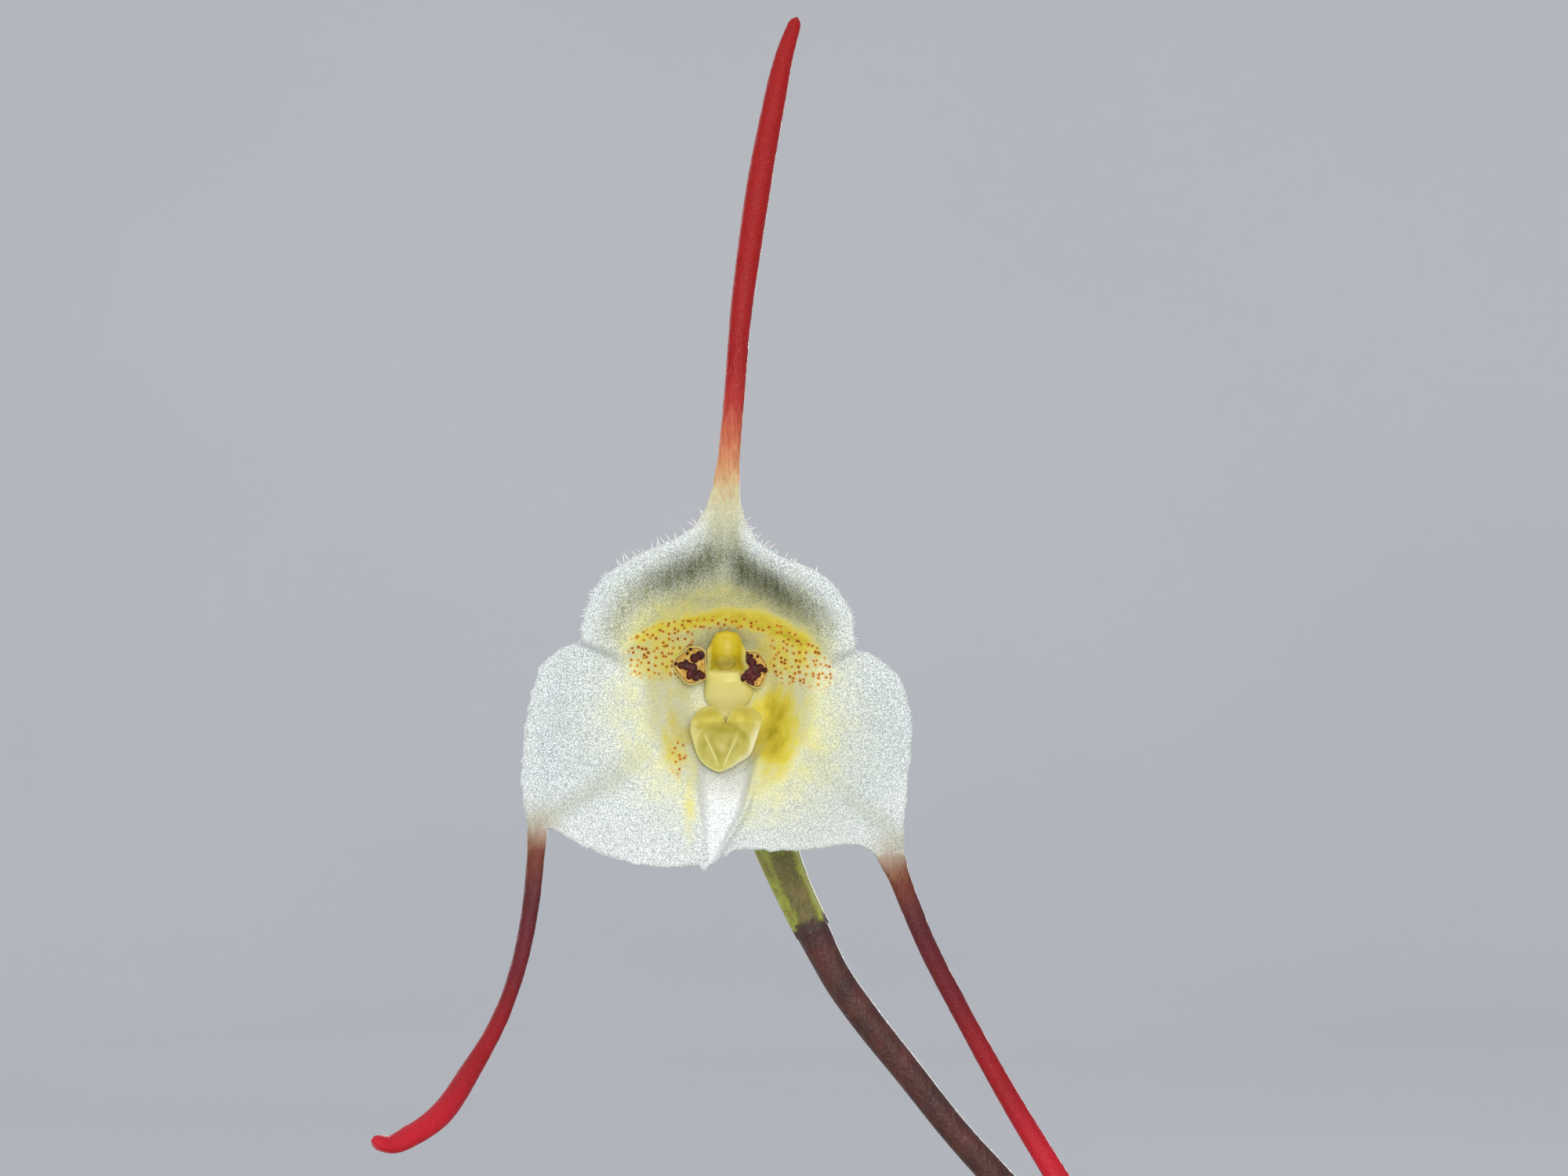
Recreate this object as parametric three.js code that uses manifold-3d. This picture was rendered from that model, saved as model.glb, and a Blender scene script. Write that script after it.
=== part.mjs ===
// A small orchid in a clay pot: one bloom with three red tails, on an upright flower stem above a tuft
// of keeled leaves. Millimetres, +Z up. The origin is the centre of the pot's foot, and the bloom
// faces -Y. Each piece of the plant and the pot is one named mesh.
import * as THREE from "three";
import { mergeVertices } from "three/addons/utils/BufferGeometryUtils.js";
import Module from "manifold-3d";

const wasm = await Module();
wasm.setup();

// The clearance between pieces that touch on the real plant
const CLEARANCE = 0.3;

// Clay pot
const POT_HEIGHT = 80;
const POT_RIM_RADIUS = 44;
const POT_BASE_RADIUS = 30;
const POT_WALL = 4.5;
const POT_FLOOR = 6;
const POT_BAND_HEIGHT = 16;
const POT_BAND_STEP = 2.6;
const POT_SIDES = 40;
const DRAIN_RADIUS = 4.5;
const DRAIN_CIRCLE = 15;
const DRAIN_COUNT = 3;

// Moss plug and what grows in it
const MOSS_EDGE_Z = 70;
const MOSS_CROWN_Z = 75.5;
const RHIZOME_Z = 68;
const RHIZOME_RADIUS = 1.9;
const ROOT_COUNT = 6;
const ROOT_RADIUS = 0.9;

// Tuft of stems, one leaf on each
const STEM_COUNT = 12;
const STEM_RADIUS = 1.25;
const SHEATH_RADIUS = 1.75;
const SHEATH_FLARE = 0.15;
const TUFT_INNER_RADIUS = 3.2;
const TUFT_SPREAD = 3.4;
const TUFT_TURN = 20;
const GOLDEN_ANGLE = 137.508;
const UPRIGHT_LEAVES = 4;
const FIRST_LEAF_HEADING = 285;
const LEAF_STATIONS = [0, 0.12, 0.24, 0.36, 0.48, 0.6, 0.71, 0.81, 0.89, 0.95, 1];
const LEAF_HALF_WIDTH = 8.2;
const LEAF_TIP_FROM = 0.66;
const LEAF_TIP_HALF_WIDTH = 0.45;
const LEAF_THICKNESS = 0.8;
const LEAF_KEEL = 0.7;
const LEAF_FOLD = 0.32;
const PETIOLE_HALF_WIDTH = 1.35;
const SEED = 7;

// Bloom: x to the right, d away from the viewer and z up, all from the middle of its face
const BLOOM_CENTRE = new THREE.Vector3(-14, -18, 236);
const SPOKE_CENTRE = [0.1, -0.6];
const SEPAL_THICKNESS = 0.65;
const STEEPEST_THICKENING = 2.5;
const SEPAL_RINGS = 11;
const CUP_DEPTH = 5.2;
const CUP_MIDDLE = [0.2, -0.3];
const CUP_HALF_SIZE = [3.6, 4.4];
const HOOD_HALF_SIZE = [4.6, 5.0];
const HOOD_FORWARD = 0.5;
const LIMB_REFLEX = 1.4;
const NOTCH_ANGLE = 68.2;
const TAIL_GAP = 0.35;

// Sepal margins, clockwise from the right edge of the upper tail, with the columns that each one gets
const SEPAL_MARGINS = [
  { columns: 10, points: [[0.68, 10.3], [0.8, 9.2], [1.12, 8.4], [1.76, 7.6], [2.88, 6.8],
    [3.84, 6.4], [5.24, 5.6], [5.88, 4.8], [6.36, 4], [6.55, 3], [6.6, 2]] },
  { columns: 12, points: [[6.6, 2], [7.4, 1.8], [8.24, 1.2], [8.72, 0.8], [9.12, 0], [9.4, -0.8],
    [9.52, -2.6], [9.32, -4.8], [9.16, -6.4], [9.1, -8.3]] },
  { columns: 2, points: [[9.1, -8.3], [7.68, -8.4]] },
  { columns: 7, points: [[7.68, -8.4], [7.3, -8.12], [4, -8.14], [0.5, -8.16]] },
  { columns: 5, points: [[0.5, -8.16], [0.2, -8.4], [-0.6, -8.8], [-1.12, -9.2], [-1.52, -8.96]] },
  { columns: 8, points: [[-1.52, -8.96], [-3.68, -9], [-5.68, -8.6], [-7.16, -8], [-8.8, -7.2],
    [-9.12, -7.08]] },
  { columns: 2, points: [[-9.12, -7.08], [-10.12, -7]] },
  { columns: 12, points: [[-10.12, -7], [-10.36, -5.6], [-10.4, -4.8], [-10.28, -2.6], [-10.04, -0.8],
    [-9.7, 0.4], [-9.4, 1.2], [-8.8, 1.8], [-8.08, 2.2], [-7.32, 2.35]] },
  { columns: 11, points: [[-7.32, 2.35], [-7.25, 3.2], [-7.08, 4], [-6.36, 5.6], [-4.56, 6.8],
    [-2.84, 7.6], [-1.56, 8.4], [-1.04, 9.2], [-0.6, 10.3]] },
  { columns: 2, points: [[-0.6, 10.3], [0.68, 10.3]] },
];

// Middle lines of the tails, as [x, d, z] from the bloom's centre, from sepal to tip
const TAIL_LINES = {
  tail_dorsal: [[0.04, 0.3, 10.3], [0.3, 0.15, 13.2], [0.48, 0.1, 15.2], [0.8, 0.15, 19.2],
    [1.16, 0.35, 22], [1.68, 0.8, 25.6], [2.34, 1.6, 29.3], [3.14, 2.6, 33], [3.67, 3.2, 34.6]],
  tail_left: [[-9.62, 1.7, -7.05], [-9.76, 1.6, -8.9], [-9.91, 1.45, -10.5], [-10.48, 0.5, -13.8],
    [-11.45, -1.2, -16.7], [-12.72, -3, -19], [-14.65, -5.4, -21.6], [-15.64, -6.3, -22.2],
    [-16.58, -7, -22.6], [-17.55, -7.7, -22.35]],
  tail_right: [[8.4, 1.8, -8.52], [8.93, 1.8, -9.7], [10.23, 2.3, -12.9], [12.33, 3.1, -17],
    [14.61, 3.7, -21.1], [17.02, 3.9, -25.1], [19, 3.3, -28.3], [19.62, 2.9, -29.6]],
};
const TAIL_BASE_HALF = [0.6, 0.33];
const TAIL_HALF = [0.5, 0.42];
const TAIL_CLUB_HALF = [0.68, 0.5];

// Stalks, as [x, d, z] from the bloom's centre
const OVARY_LINE = [[0.35, 6.92, -1.9], [0.5, 7.6, -2.6], [1.15, 8.9, -4.65], [1.97, 9.9, -6.74],
  [2.71, 10.6, -8.83], [3.56, 10.9, -10.9], [4.4, 11, -12.6]];
const PEDICEL_LINE = [[4.6, 11.02, -12.95], [5.9, 11.4, -15.5], [7.39, 11.7, -17.6], [9.36, 12.1, -20.1],
  [12.38, 12.6, -23.9], [14.18, 12.9, -25.9], [16.1, 13.2, -28], [17.85, 13.3, -29.85]];
const OVARY_RADIUS = 1.2;
const PEDICEL_RADIUS = 0.88;
const PEDUNCLE_RADIUS = 0.95;

// Middle line of the flower stem, from the moss to its tip behind the pedicel's foot
const PEDUNCLE_LINE = [[7.2, 3.4, 69.6], [7.6, 3.1, 90], [8.3, 1.8, 120], [8.2, -0.2, 150],
  [7, -2.4, 178], [5.4, -4.1, 198], [4.7, -4.7, 205.2]];
// Each bract clasps the flower stem: where its foot is, how long it is and how wide at its mouth
const BRACTS = {
  bract_lower: { foot: 84, length: 15, mouth: 1.75 },
  bract_upper: { foot: 142, length: 13, mouth: 1.65 },
  bract_floral: { foot: 194.5, length: 12.5, mouth: 1.9 },
};
const BRACT_THICKNESS = 0.6;
const BRACT_WRAP = 205;

const MATERIALS = {
  clay: { color: 0xb4673f, roughness: 0.88 },
  moss: { color: 0x8f9351, roughness: 0.95 },
  rhizome: { color: 0x9a7d4e, roughness: 0.85 },
  sheath: { color: 0x8d7350, roughness: 0.8 },
  leaf: { color: 0x3f7336, roughness: 0.45 },
  stalk: { color: 0x4e3030, roughness: 0.6 },
  bract: { color: 0xa78b5e, roughness: 0.8 },
  ovary: { color: 0x6d7726, roughness: 0.55 },
  sepal: { color: 0xe6ebe2, roughness: 0.55 },
  tail: { color: 0xb3151f, roughness: 0.5 },
  petal: { color: 0xb87a2c, roughness: 0.5 },
  lip: { color: 0xd9cf8e, roughness: 0.5 },
  column: { color: 0xc9b338, roughness: 0.45 },
  anther: { color: 0xe8dc9a, roughness: 0.5 },
};

const plant = new THREE.Group();

function addPiece(name, geometry, finish) {
  const material = new THREE.MeshStandardMaterial({ metalness: 0, ...MATERIALS[finish] });
  const mesh = new THREE.Mesh(geometry, material);
  mesh.name = name;
  plant.add(mesh);
}

function smooth(low, high, value) {
  return THREE.MathUtils.smoothstep(value, low, high);
}

function bump(distance, width) {
  return Math.exp(-((distance / width) ** 2));
}

function randomFrom(seed) {
  let state = seed;
  return () => {
    state = (state * 16807) % 2147483647;
    return state / 2147483647;
  };
}

function bloomPoint(x, d, z) {
  return new THREE.Vector3(x, d, z).add(BLOOM_CENTRE);
}

// Closed geometry from points and triangles, turned so that its faces point out
function closedGeometry(points, triangles) {
  let volume = 0;
  for (const [a, b, c] of triangles) {
    volume += points[a].dot(points[b].clone().cross(points[c]));
  }
  const order = volume < 0 ? [0, 2, 1] : [0, 1, 2];
  const geometry = new THREE.BufferGeometry();
  const positions = new Float32Array(points.flatMap((point) => point.toArray()));
  geometry.setAttribute("position", new THREE.BufferAttribute(positions, 3));
  geometry.setIndex(triangles.flatMap((corners) => order.map((place) => corners[place])));
  return geometry;
}

// Triangles between rings with the same number of points
function trianglesBetween(rings) {
  const sides = rings[0].length;
  const triangles = [];
  for (let row = 0; row + 1 < rings.length; row++) {
    for (let side = 0; side < sides; side++) {
      const a = row * sides + side;
      const b = row * sides + ((side + 1) % sides);
      triangles.push([a, b, b + sides], [a, b + sides, a + sides]);
    }
  }
  return triangles;
}

// Closed skin over a row of rings, with a fan over each end
function loft(rings) {
  const sides = rings[0].length;
  const points = rings.flat();
  const triangles = trianglesBetween(rings);
  for (const [first, turned] of [[0, true], [(rings.length - 1) * sides, false]]) {
    const middle = new THREE.Vector3();
    for (let side = 0; side < sides; side++) {
      middle.addScaledVector(points[first + side], 1 / sides);
    }
    points.push(middle);
    for (let side = 0; side < sides; side++) {
      const a = first + side;
      const b = first + ((side + 1) % sides);
      triangles.push(turned ? [points.length - 1, b, a] : [points.length - 1, a, b]);
    }
  }
  return closedGeometry(points, triangles);
}

// Rings of oval section along a curve. sizeAt gives both half sizes at a share of the length, and
// across is the direction that the first of them lies nearest to.
function ringsAlong(line, stations, sides, across, sizeAt) {
  const curve = new THREE.CatmullRomCurve3(line);
  return stations.map((share) => {
    const centre = curve.getPointAt(share);
    const tangent = curve.getTangentAt(share);
    const second = tangent.clone().cross(across).normalize();
    const first = second.clone().cross(tangent).normalize();
    const [firstHalf, secondHalf] = sizeAt(share);
    return Array.from({ length: sides }, (_, side) => {
      const angle = (2 * Math.PI * side) / sides;
      return centre
        .clone()
        .addScaledVector(first, firstHalf * Math.cos(angle))
        .addScaledVector(second, secondHalf * Math.sin(angle));
    });
  });
}

function evenStations(count) {
  return Array.from({ length: count + 1 }, (_, step) => step / count);
}

function vectors(points) {
  return points.map(([x, y, z]) => new THREE.Vector3(x, y, z));
}

function toSolid(geometry) {
  const bare = new THREE.BufferGeometry();
  bare.setAttribute("position", geometry.getAttribute("position"));
  bare.setIndex(geometry.getIndex());
  const merged = mergeVertices(bare, 1e-3);
  return new wasm.Manifold(
    new wasm.Mesh({
      numProp: 3,
      vertProperties: merged.attributes.position.array,
      triVerts: new Uint32Array(merged.index.array),
    }),
  );
}

function toGeometry(solid) {
  const mesh = solid.getMesh();
  const geometry = new THREE.BufferGeometry();
  geometry.setAttribute("position", new THREE.BufferAttribute(mesh.vertProperties, 3));
  geometry.setIndex(new THREE.BufferAttribute(mesh.triVerts, 1));
  return geometry;
}

function joined(geometries) {
  return geometries.map(toSolid).reduce((whole, piece) => whole.add(piece));
}

// Pot

const BAND_FOOT_Z = POT_HEIGHT - POT_BAND_HEIGHT;
const BODY_TOP_RADIUS = POT_RIM_RADIUS - POT_BAND_STEP - 0.8;
const INNER_LINE = [
  [POT_BASE_RADIUS - POT_WALL + 0.3, POT_FLOOR],
  [BODY_TOP_RADIUS - POT_WALL + 0.4, BAND_FOOT_Z],
  [POT_RIM_RADIUS - POT_WALL, POT_HEIGHT - 1],
];

function potInnerRadius(z) {
  const upper = z > BAND_FOOT_Z ? 1 : 0;
  const [lowRadius, lowZ] = INNER_LINE[upper];
  const [highRadius, highZ] = INNER_LINE[upper + 1];
  return lowRadius + ((highRadius - lowRadius) * (z - lowZ)) / (highZ - lowZ);
}

function buildPot() {
  const profile = [
    [0, 0],
    [POT_BASE_RADIUS - 1, 0],
    [POT_BASE_RADIUS, 1.2],
    [BODY_TOP_RADIUS, BAND_FOOT_Z],
    [POT_RIM_RADIUS - 1.2, BAND_FOOT_Z + 0.6],
    [POT_RIM_RADIUS - 0.6, BAND_FOOT_Z + 1.8],
    [POT_RIM_RADIUS, POT_HEIGHT - 1.6],
    [POT_RIM_RADIUS - 1.2, POT_HEIGHT],
    [POT_RIM_RADIUS - POT_WALL + 1.2, POT_HEIGHT],
    INNER_LINE[2],
    INNER_LINE[1],
    INNER_LINE[0],
    [0, POT_FLOOR],
  ].map(([radius, z]) => new THREE.Vector2(radius, z));
  const body = new THREE.LatheGeometry(profile, POT_SIDES);
  body.rotateX(Math.PI / 2);
  let solid = toSolid(body);
  for (let hole = 0; hole < DRAIN_COUNT; hole++) {
    const drain = new THREE.CylinderGeometry(DRAIN_RADIUS, DRAIN_RADIUS, 4 * POT_FLOOR, 14);
    const angle = (2 * Math.PI * hole) / DRAIN_COUNT + Math.PI / 2;
    drain.rotateX(Math.PI / 2);
    drain.translate(DRAIN_CIRCLE * Math.cos(angle), DRAIN_CIRCLE * Math.sin(angle), 0);
    solid = solid.subtract(toSolid(drain));
  }
  addPiece("pot", toGeometry(solid), "clay");
}

// Tuft of stems and leaves

const random = randomFrom(SEED);
const tuft = Array.from({ length: STEM_COUNT }, (_, index) => {
  const upright = index < UPRIGHT_LEAVES;
  const angle = THREE.MathUtils.degToRad(TUFT_TURN + index * GOLDEN_ANGLE);
  const radius = TUFT_INNER_RADIUS + TUFT_SPREAD * Math.sqrt(index);
  const heading = index === 0 ? THREE.MathUtils.degToRad(FIRST_LEAF_HEADING) : angle;
  return {
    name: String(index + 1).padStart(2, "0"),
    foot: new THREE.Vector3(radius * Math.cos(angle), radius * Math.sin(angle), 0),
    outward: new THREE.Vector3(Math.cos(heading), Math.sin(heading), 0),
    stemLean: THREE.MathUtils.degToRad(upright ? 5 + 3 * random() : 14 + 6 * random()),
    stemLength: upright ? 26 + 6 * random() : 20 + 8 * random(),
    leafLean: THREE.MathUtils.degToRad(upright ? 20 + 12 * random() : 48 + 20 * random()),
    leafLength: upright ? 80 + 8 * random() : 86 + 14 * random(),
    twist: 0.5 * (random() - 0.5),
  };
});

function leaning(plan, lean) {
  return plan.outward
    .clone()
    .multiplyScalar(Math.sin(lean))
    .add(new THREE.Vector3(0, 0, Math.cos(lean)));
}

function stemFoot(plan) {
  const tilt = SHEATH_RADIUS * Math.sin(plan.stemLean);
  return plan.foot.clone().setZ(RHIZOME_Z + RHIZOME_RADIUS + CLEARANCE + tilt);
}

// A stem is wrapped in three papery sheaths, each standing out a little at its mouth
function stemGeometry(plan) {
  const foot = stemFoot(plan);
  const top = foot.clone().addScaledVector(leaning(plan, plan.stemLean), plan.stemLength);
  const radiusAt = new Map([
    [0, SHEATH_RADIUS],
    [0.3, SHEATH_RADIUS + SHEATH_FLARE],
    [0.31, SHEATH_RADIUS - 0.2],
    [0.62, SHEATH_RADIUS],
    [0.63, SHEATH_RADIUS - 0.35],
    [0.9, SHEATH_RADIUS - 0.1],
    [0.91, STEM_RADIUS],
    [1, STEM_RADIUS],
  ]);
  return loft(
    ringsAlong([foot, top], [...radiusAt.keys()], 8, plan.outward, (share) => {
      return [radiusAt.get(share), radiusAt.get(share)];
    }),
  );
}

// The hole that a stem stands in, from just inside the rhizome's channel to above the moss
function stemHole(plan) {
  const foot = stemFoot(plan);
  const axis = leaning(plan, plan.stemLean);
  const line = [-RHIZOME_RADIUS, plan.stemLength].map((reach) => foot.clone().addScaledVector(axis, reach));
  const radius = SHEATH_RADIUS + SHEATH_FLARE + CLEARANCE;
  return loft(ringsAlong(line, evenStations(1), 8, plan.outward, () => [radius, radius]));
}

// One keeled leaf: a channelled stalk that widens into a narrow blade with an acute tip
function leafGeometry(plan) {
  const stemAxis = leaning(plan, plan.stemLean);
  const centre = stemFoot(plan).addScaledVector(stemAxis, plan.stemLength + CLEARANCE);
  const flatSide = plan.outward.clone().cross(new THREE.Vector3(0, 0, 1));
  const leanAt = (share) => plan.stemLean + (plan.leafLean - plan.stemLean) * share ** 1.6;
  const rings = [];
  let passed = 0;
  for (const share of LEAF_STATIONS) {
    centre.addScaledVector(leaning(plan, leanAt((passed + share) / 2)), (share - passed) * plan.leafLength);
    passed = share;
    const tangent = leaning(plan, leanAt(share));
    const turn = plan.twist * share;
    const side = flatSide.clone().applyAxisAngle(tangent, turn);
    const upper = side.clone().cross(tangent).normalize();
    const towardsTip = Math.max(0, share - LEAF_TIP_FROM) / (1 - LEAF_TIP_FROM);
    const blade = (LEAF_HALF_WIDTH - PETIOLE_HALF_WIDTH) * smooth(0.14, LEAF_TIP_FROM, share);
    const shape = (PETIOLE_HALF_WIDTH + blade) * (1 - towardsTip ** 2.2) ** 0.8;
    const half = Math.max(LEAF_TIP_HALF_WIDTH, shape);
    const fold = LEAF_FOLD * (1 - 0.45 * share);
    const thick = LEAF_THICKNESS + 0.9 * (1 - smooth(0.1, 0.4, share));
    const keel = LEAF_KEEL * (1 - smooth(0.55, 1, share));
    const ring = [];
    for (const across of [-1, -0.55, 0, 0.55, 1]) {
      ring.push(
        centre
          .clone()
          .addScaledVector(side, across * half)
          .addScaledVector(upper, Math.abs(across) * half * fold),
      );
    }
    for (const across of [1, 0.55, 0, -0.55, -1]) {
      const depth = thick + (across === 0 ? keel : 0);
      ring.push(
        centre
          .clone()
          .addScaledVector(side, across * half * 0.97)
          .addScaledVector(upper, Math.abs(across) * half * fold - depth),
      );
    }
    rings.push(ring);
  }
  return loft(rings);
}

// Rhizome and roots

// A line drawn out at both ends
function drawnOut(line, reach) {
  const [first, last] = [line[0], line[line.length - 1]];
  const start = first.clone().sub(line[1]).setLength(reach).add(first);
  const end = last.clone().sub(line[line.length - 2]).setLength(reach).add(last);
  return [start, ...line.slice(1, -1), end];
}

// The rhizome with a branch to each stem, and its roots. The channel in the moss is the same shape
// with some clearance all round.
function rhizomeSolid(extra) {
  const main = vectors([[-13, 1.5, RHIZOME_Z], [-5, -1.5, RHIZOME_Z], [3, 1.2, RHIZOME_Z],
    [11, 0.5, RHIZOME_Z]]);
  const up = new THREE.Vector3(0, 0, 1);
  const tube = (line, steps, sides, across, radius, tip = radius) =>
    loft(
      ringsAlong(drawnOut(line, extra), evenStations(steps), sides, across, (share) => {
        const size = radius + (tip - radius) * share + extra;
        return [size, size];
      }),
    );
  const pieces = [tube(main, 7, 8, up, RHIZOME_RADIUS)];
  const mainCurve = new THREE.CatmullRomCurve3(main);
  for (const plan of tuft) {
    const end = plan.foot.clone().setZ(RHIZOME_Z + 0.1);
    const start = mainCurve
      .getSpacedPoints(20)
      .reduce((best, point) => (point.distanceTo(end) < best.distanceTo(end) ? point : best));
    const along = end.clone().sub(start).normalize();
    const line = [start.addScaledVector(along, -0.4), end.addScaledVector(along, 1.6)];
    pieces.push(tube(line, 1, 6, up, RHIZOME_RADIUS - 0.25));
  }
  for (let root = 0; root < ROOT_COUNT; root++) {
    const angle = (2 * Math.PI * (root + 0.35)) / ROOT_COUNT;
    const start = mainCurve.getPoint((root + 0.5) / ROOT_COUNT);
    const reach = 15 + 6 * ((root * 5) % 3) * 0.5;
    const [east, north] = [Math.cos(angle), Math.sin(angle)];
    const line = [
      start,
      new THREE.Vector3(start.x + 4 * east, start.y + 5 * north, RHIZOME_Z - 7),
      new THREE.Vector3(0.5 * start.x + reach * east, reach * north, RHIZOME_Z - 22),
      new THREE.Vector3((reach + 2) * east, (reach + 2) * north, RHIZOME_Z - 38 - 5 * (root % 3)),
    ];
    pieces.push(tube(line, 5, 5, new THREE.Vector3(-north, east, 0), ROOT_RADIUS, 0.65 * ROOT_RADIUS));
  }
  return joined(pieces);
}

// Moss plug, with a plain hole for everything that stands in it

function mossHeight(x, y) {
  const radius = Math.hypot(x, y) / potInnerRadius(MOSS_EDGE_Z);
  const relief =
    0.55 * Math.sin(0.42 * x + 1.3) * Math.sin(0.5 * y + 0.4) +
    0.35 * Math.sin(0.9 * x - 0.6 * y) +
    0.3 * Math.sin(0.8 * y + 0.9 * x + 2);
  return MOSS_EDGE_Z + (MOSS_CROWN_Z - MOSS_EDGE_Z) * (1 - radius ** 2) + relief * (1 - radius ** 6);
}

function buildMoss() {
  const topRings = 7;
  const rings = [];
  const ringAt = (radius, zAt) =>
    Array.from({ length: POT_SIDES }, (_, column) => {
      const angle = (2 * Math.PI * column) / POT_SIDES;
      const x = radius * Math.cos(angle);
      const y = radius * Math.sin(angle);
      return new THREE.Vector3(x, y, zAt(x, y));
    });
  for (const z of [POT_FLOOR + CLEARANCE, BAND_FOOT_Z]) {
    rings.push(ringAt(potInnerRadius(z) - CLEARANCE, () => z));
  }
  const edge = potInnerRadius(MOSS_EDGE_Z) - CLEARANCE;
  for (let ring = 0; ring < topRings; ring++) {
    rings.push(ringAt(edge * (1 - ring / topRings), mossHeight));
  }
  let solid = toSolid(loft(rings)).subtract(rhizomeSolid(CLEARANCE));
  for (const plan of tuft) {
    solid = solid.subtract(toSolid(stemHole(plan)));
  }
  const hole = ringsAlong(vectors(PEDUNCLE_LINE), evenStations(12).slice(0, 2), 8,
    new THREE.Vector3(1, 0, 0), () => [PEDUNCLE_RADIUS + 2 * CLEARANCE, PEDUNCLE_RADIUS + 2 * CLEARANCE]);
  const deeper = hole[0].map((point) => point.clone().setZ(point.z - 1.5));
  solid = solid.subtract(toSolid(loft([deeper, ...hole])));
  addPiece("moss", toGeometry(solid), "moss");
}

// Flower stem and its bracts

const peduncleCurve = new THREE.CatmullRomCurve3(vectors(PEDUNCLE_LINE));

function buildPeduncle() {
  const rings = ringsAlong(vectors(PEDUNCLE_LINE), evenStations(16), 8, new THREE.Vector3(1, 0, 0),
    (share) => {
      const node = 0.35 * bump(share - 0.985, 0.02);
      const radius = PEDUNCLE_RADIUS * (1.08 - 0.1 * share) + node;
      return [radius, radius];
    });
  addPiece("peduncle", loft(rings), "stalk");
}

// A bract is a blade rolled round the stem, open on one side and drawn out to a point at its back
function bractGeometry({ foot, length, mouth }) {
  const shares = evenStations(5);
  const turns = evenStations(6);
  const spacing = peduncleCurve.getSpacedPoints(200);
  const rings = shares.map((share) => {
    const z = foot + share * length;
    const centre = spacing.reduce((best, point) =>
      Math.abs(point.z - z) < Math.abs(best.z - z) ? point : best);
    const inner = PEDUNCLE_RADIUS * 1.08 + CLEARANCE + 0.1 + (mouth - 1.45) * share;
    const wrap = THREE.MathUtils.degToRad(BRACT_WRAP) * (1 - 0.72 * smooth(0.6, 1, share));
    const arc = (radius) =>
      turns.map((turn) => {
        const angle = Math.PI / 2 + wrap * (turn - 0.5);
        return new THREE.Vector3(
          centre.x + radius * Math.cos(angle),
          centre.y + radius * Math.sin(angle),
          z,
        );
      });
    return [...arc(inner), ...arc(inner + BRACT_THICKNESS).reverse()];
  });
  return loftRolled(rings, turns.length);
}

// Closed skin over a rolled strip, whose inner points come first in each ring. Its ends are closed
// from the inner to the outer face, because a fan would cross the hollow of the roll.
function loftRolled(rings, width) {
  const sides = rings[0].length;
  const points = rings.flat();
  const triangles = trianglesBetween(rings);
  const last = (rings.length - 1) * sides;
  for (let place = 0; place + 1 < width; place++) {
    const [a, b] = [place, place + 1];
    const [c, d] = [sides - 1 - place, sides - 2 - place];
    triangles.push([a, c, b], [b, c, d]);
    triangles.push([last + a, last + b, last + c], [last + b, last + d, last + c]);
  }
  return closedGeometry(points, triangles);
}

// Sepals

// Share that the upper sepal's form has at a point: it fades over a narrow step at the notch in the margin,
// and over a wide one inside the cup
function hoodShare(x, z) {
  const [east, up] = [x - SPOKE_CENTRE[0], z - SPOKE_CENTRE[1]];
  const angle = Math.abs(THREE.MathUtils.radToDeg(Math.atan2(east, up)));
  const halfFade = 20 - 16.5 * smooth(3, 6.5, Math.hypot(east, up));
  return 1 - smooth(NOTCH_ANGLE - halfFade, NOTCH_ANGLE + halfFade, angle);
}

function ovalRadius(x, z, [halfWidth, halfHeight]) {
  return Math.hypot((x - CUP_MIDDLE[0]) / halfWidth, (z - CUP_MIDDLE[1]) / halfHeight);
}

// The channel where the two lower sepals meet, from the lip down to the nub at the margin
function channelDepth(x, z) {
  const down = -z;
  const middle = 0.12 - 0.2 * (down - 3.4);
  const half = Math.max(0.22, 1.6 - 0.27 * (down - 3.4));
  const side = x - middle;
  const reach = Math.min(1, Math.hypot(side, 0.15) / (side > 0 ? 0.85 * half : 1.1 * half));
  const depth = 2.6 * smooth(3, 5.6, down) * (1 - 0.95 * smooth(5.8, 9.4, down));
  const crest = 0.28 * bump(side - half, 0.45) * smooth(3.2, 4.4, down) * (1 - smooth(7.5, 8.8, down));
  return depth * (1 - 0.5 * reach - 0.5 * smooth(0, 1, reach)) - crest;
}

// Groove along the midrib of a lower sepal, which runs down and out from the cup
function midribGroove(x, z) {
  const slope = x < 0 ? 0.594 : 0.846;
  const start = x < 0 ? [-3, -2.8] : [3.4, -2.8];
  const away = (z - start[1] + slope * (Math.abs(x) - Math.abs(start[0]))) / Math.hypot(1, slope);
  return 0.25 * bump(away, 0.6) * smooth(3.2, 4.6, Math.abs(x));
}

function sepalDepth(x, z) {
  const radius = ovalRadius(x, z, CUP_HALF_SIZE);
  const spread = LIMB_REFLEX * Math.max(0, (Math.abs(x) - 4) / 6) ** 1.7;
  const drop = 0.5 * Math.max(0, (-z - 5) / 4) ** 2;
  const lower = CUP_DEPTH * (1 - smooth(0.45, 1.3, radius)) + spread + drop + midribGroove(x, z);
  const hood = ovalRadius(x, z, HOOD_HALF_SIZE);
  const forward = HOOD_FORWARD * smooth(0.95, 1.35, hood) - 0.75 * smooth(1.5, 2.15, hood);
  const upper = CUP_DEPTH * (1 - smooth(0.4, 1.25, hood)) - forward + 0.15 * bump(x - 0.1, 0.5);
  const share = hoodShare(x, z);
  return upper * share + lower * (1 - share) + channelDepth(x, z);
}

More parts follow.
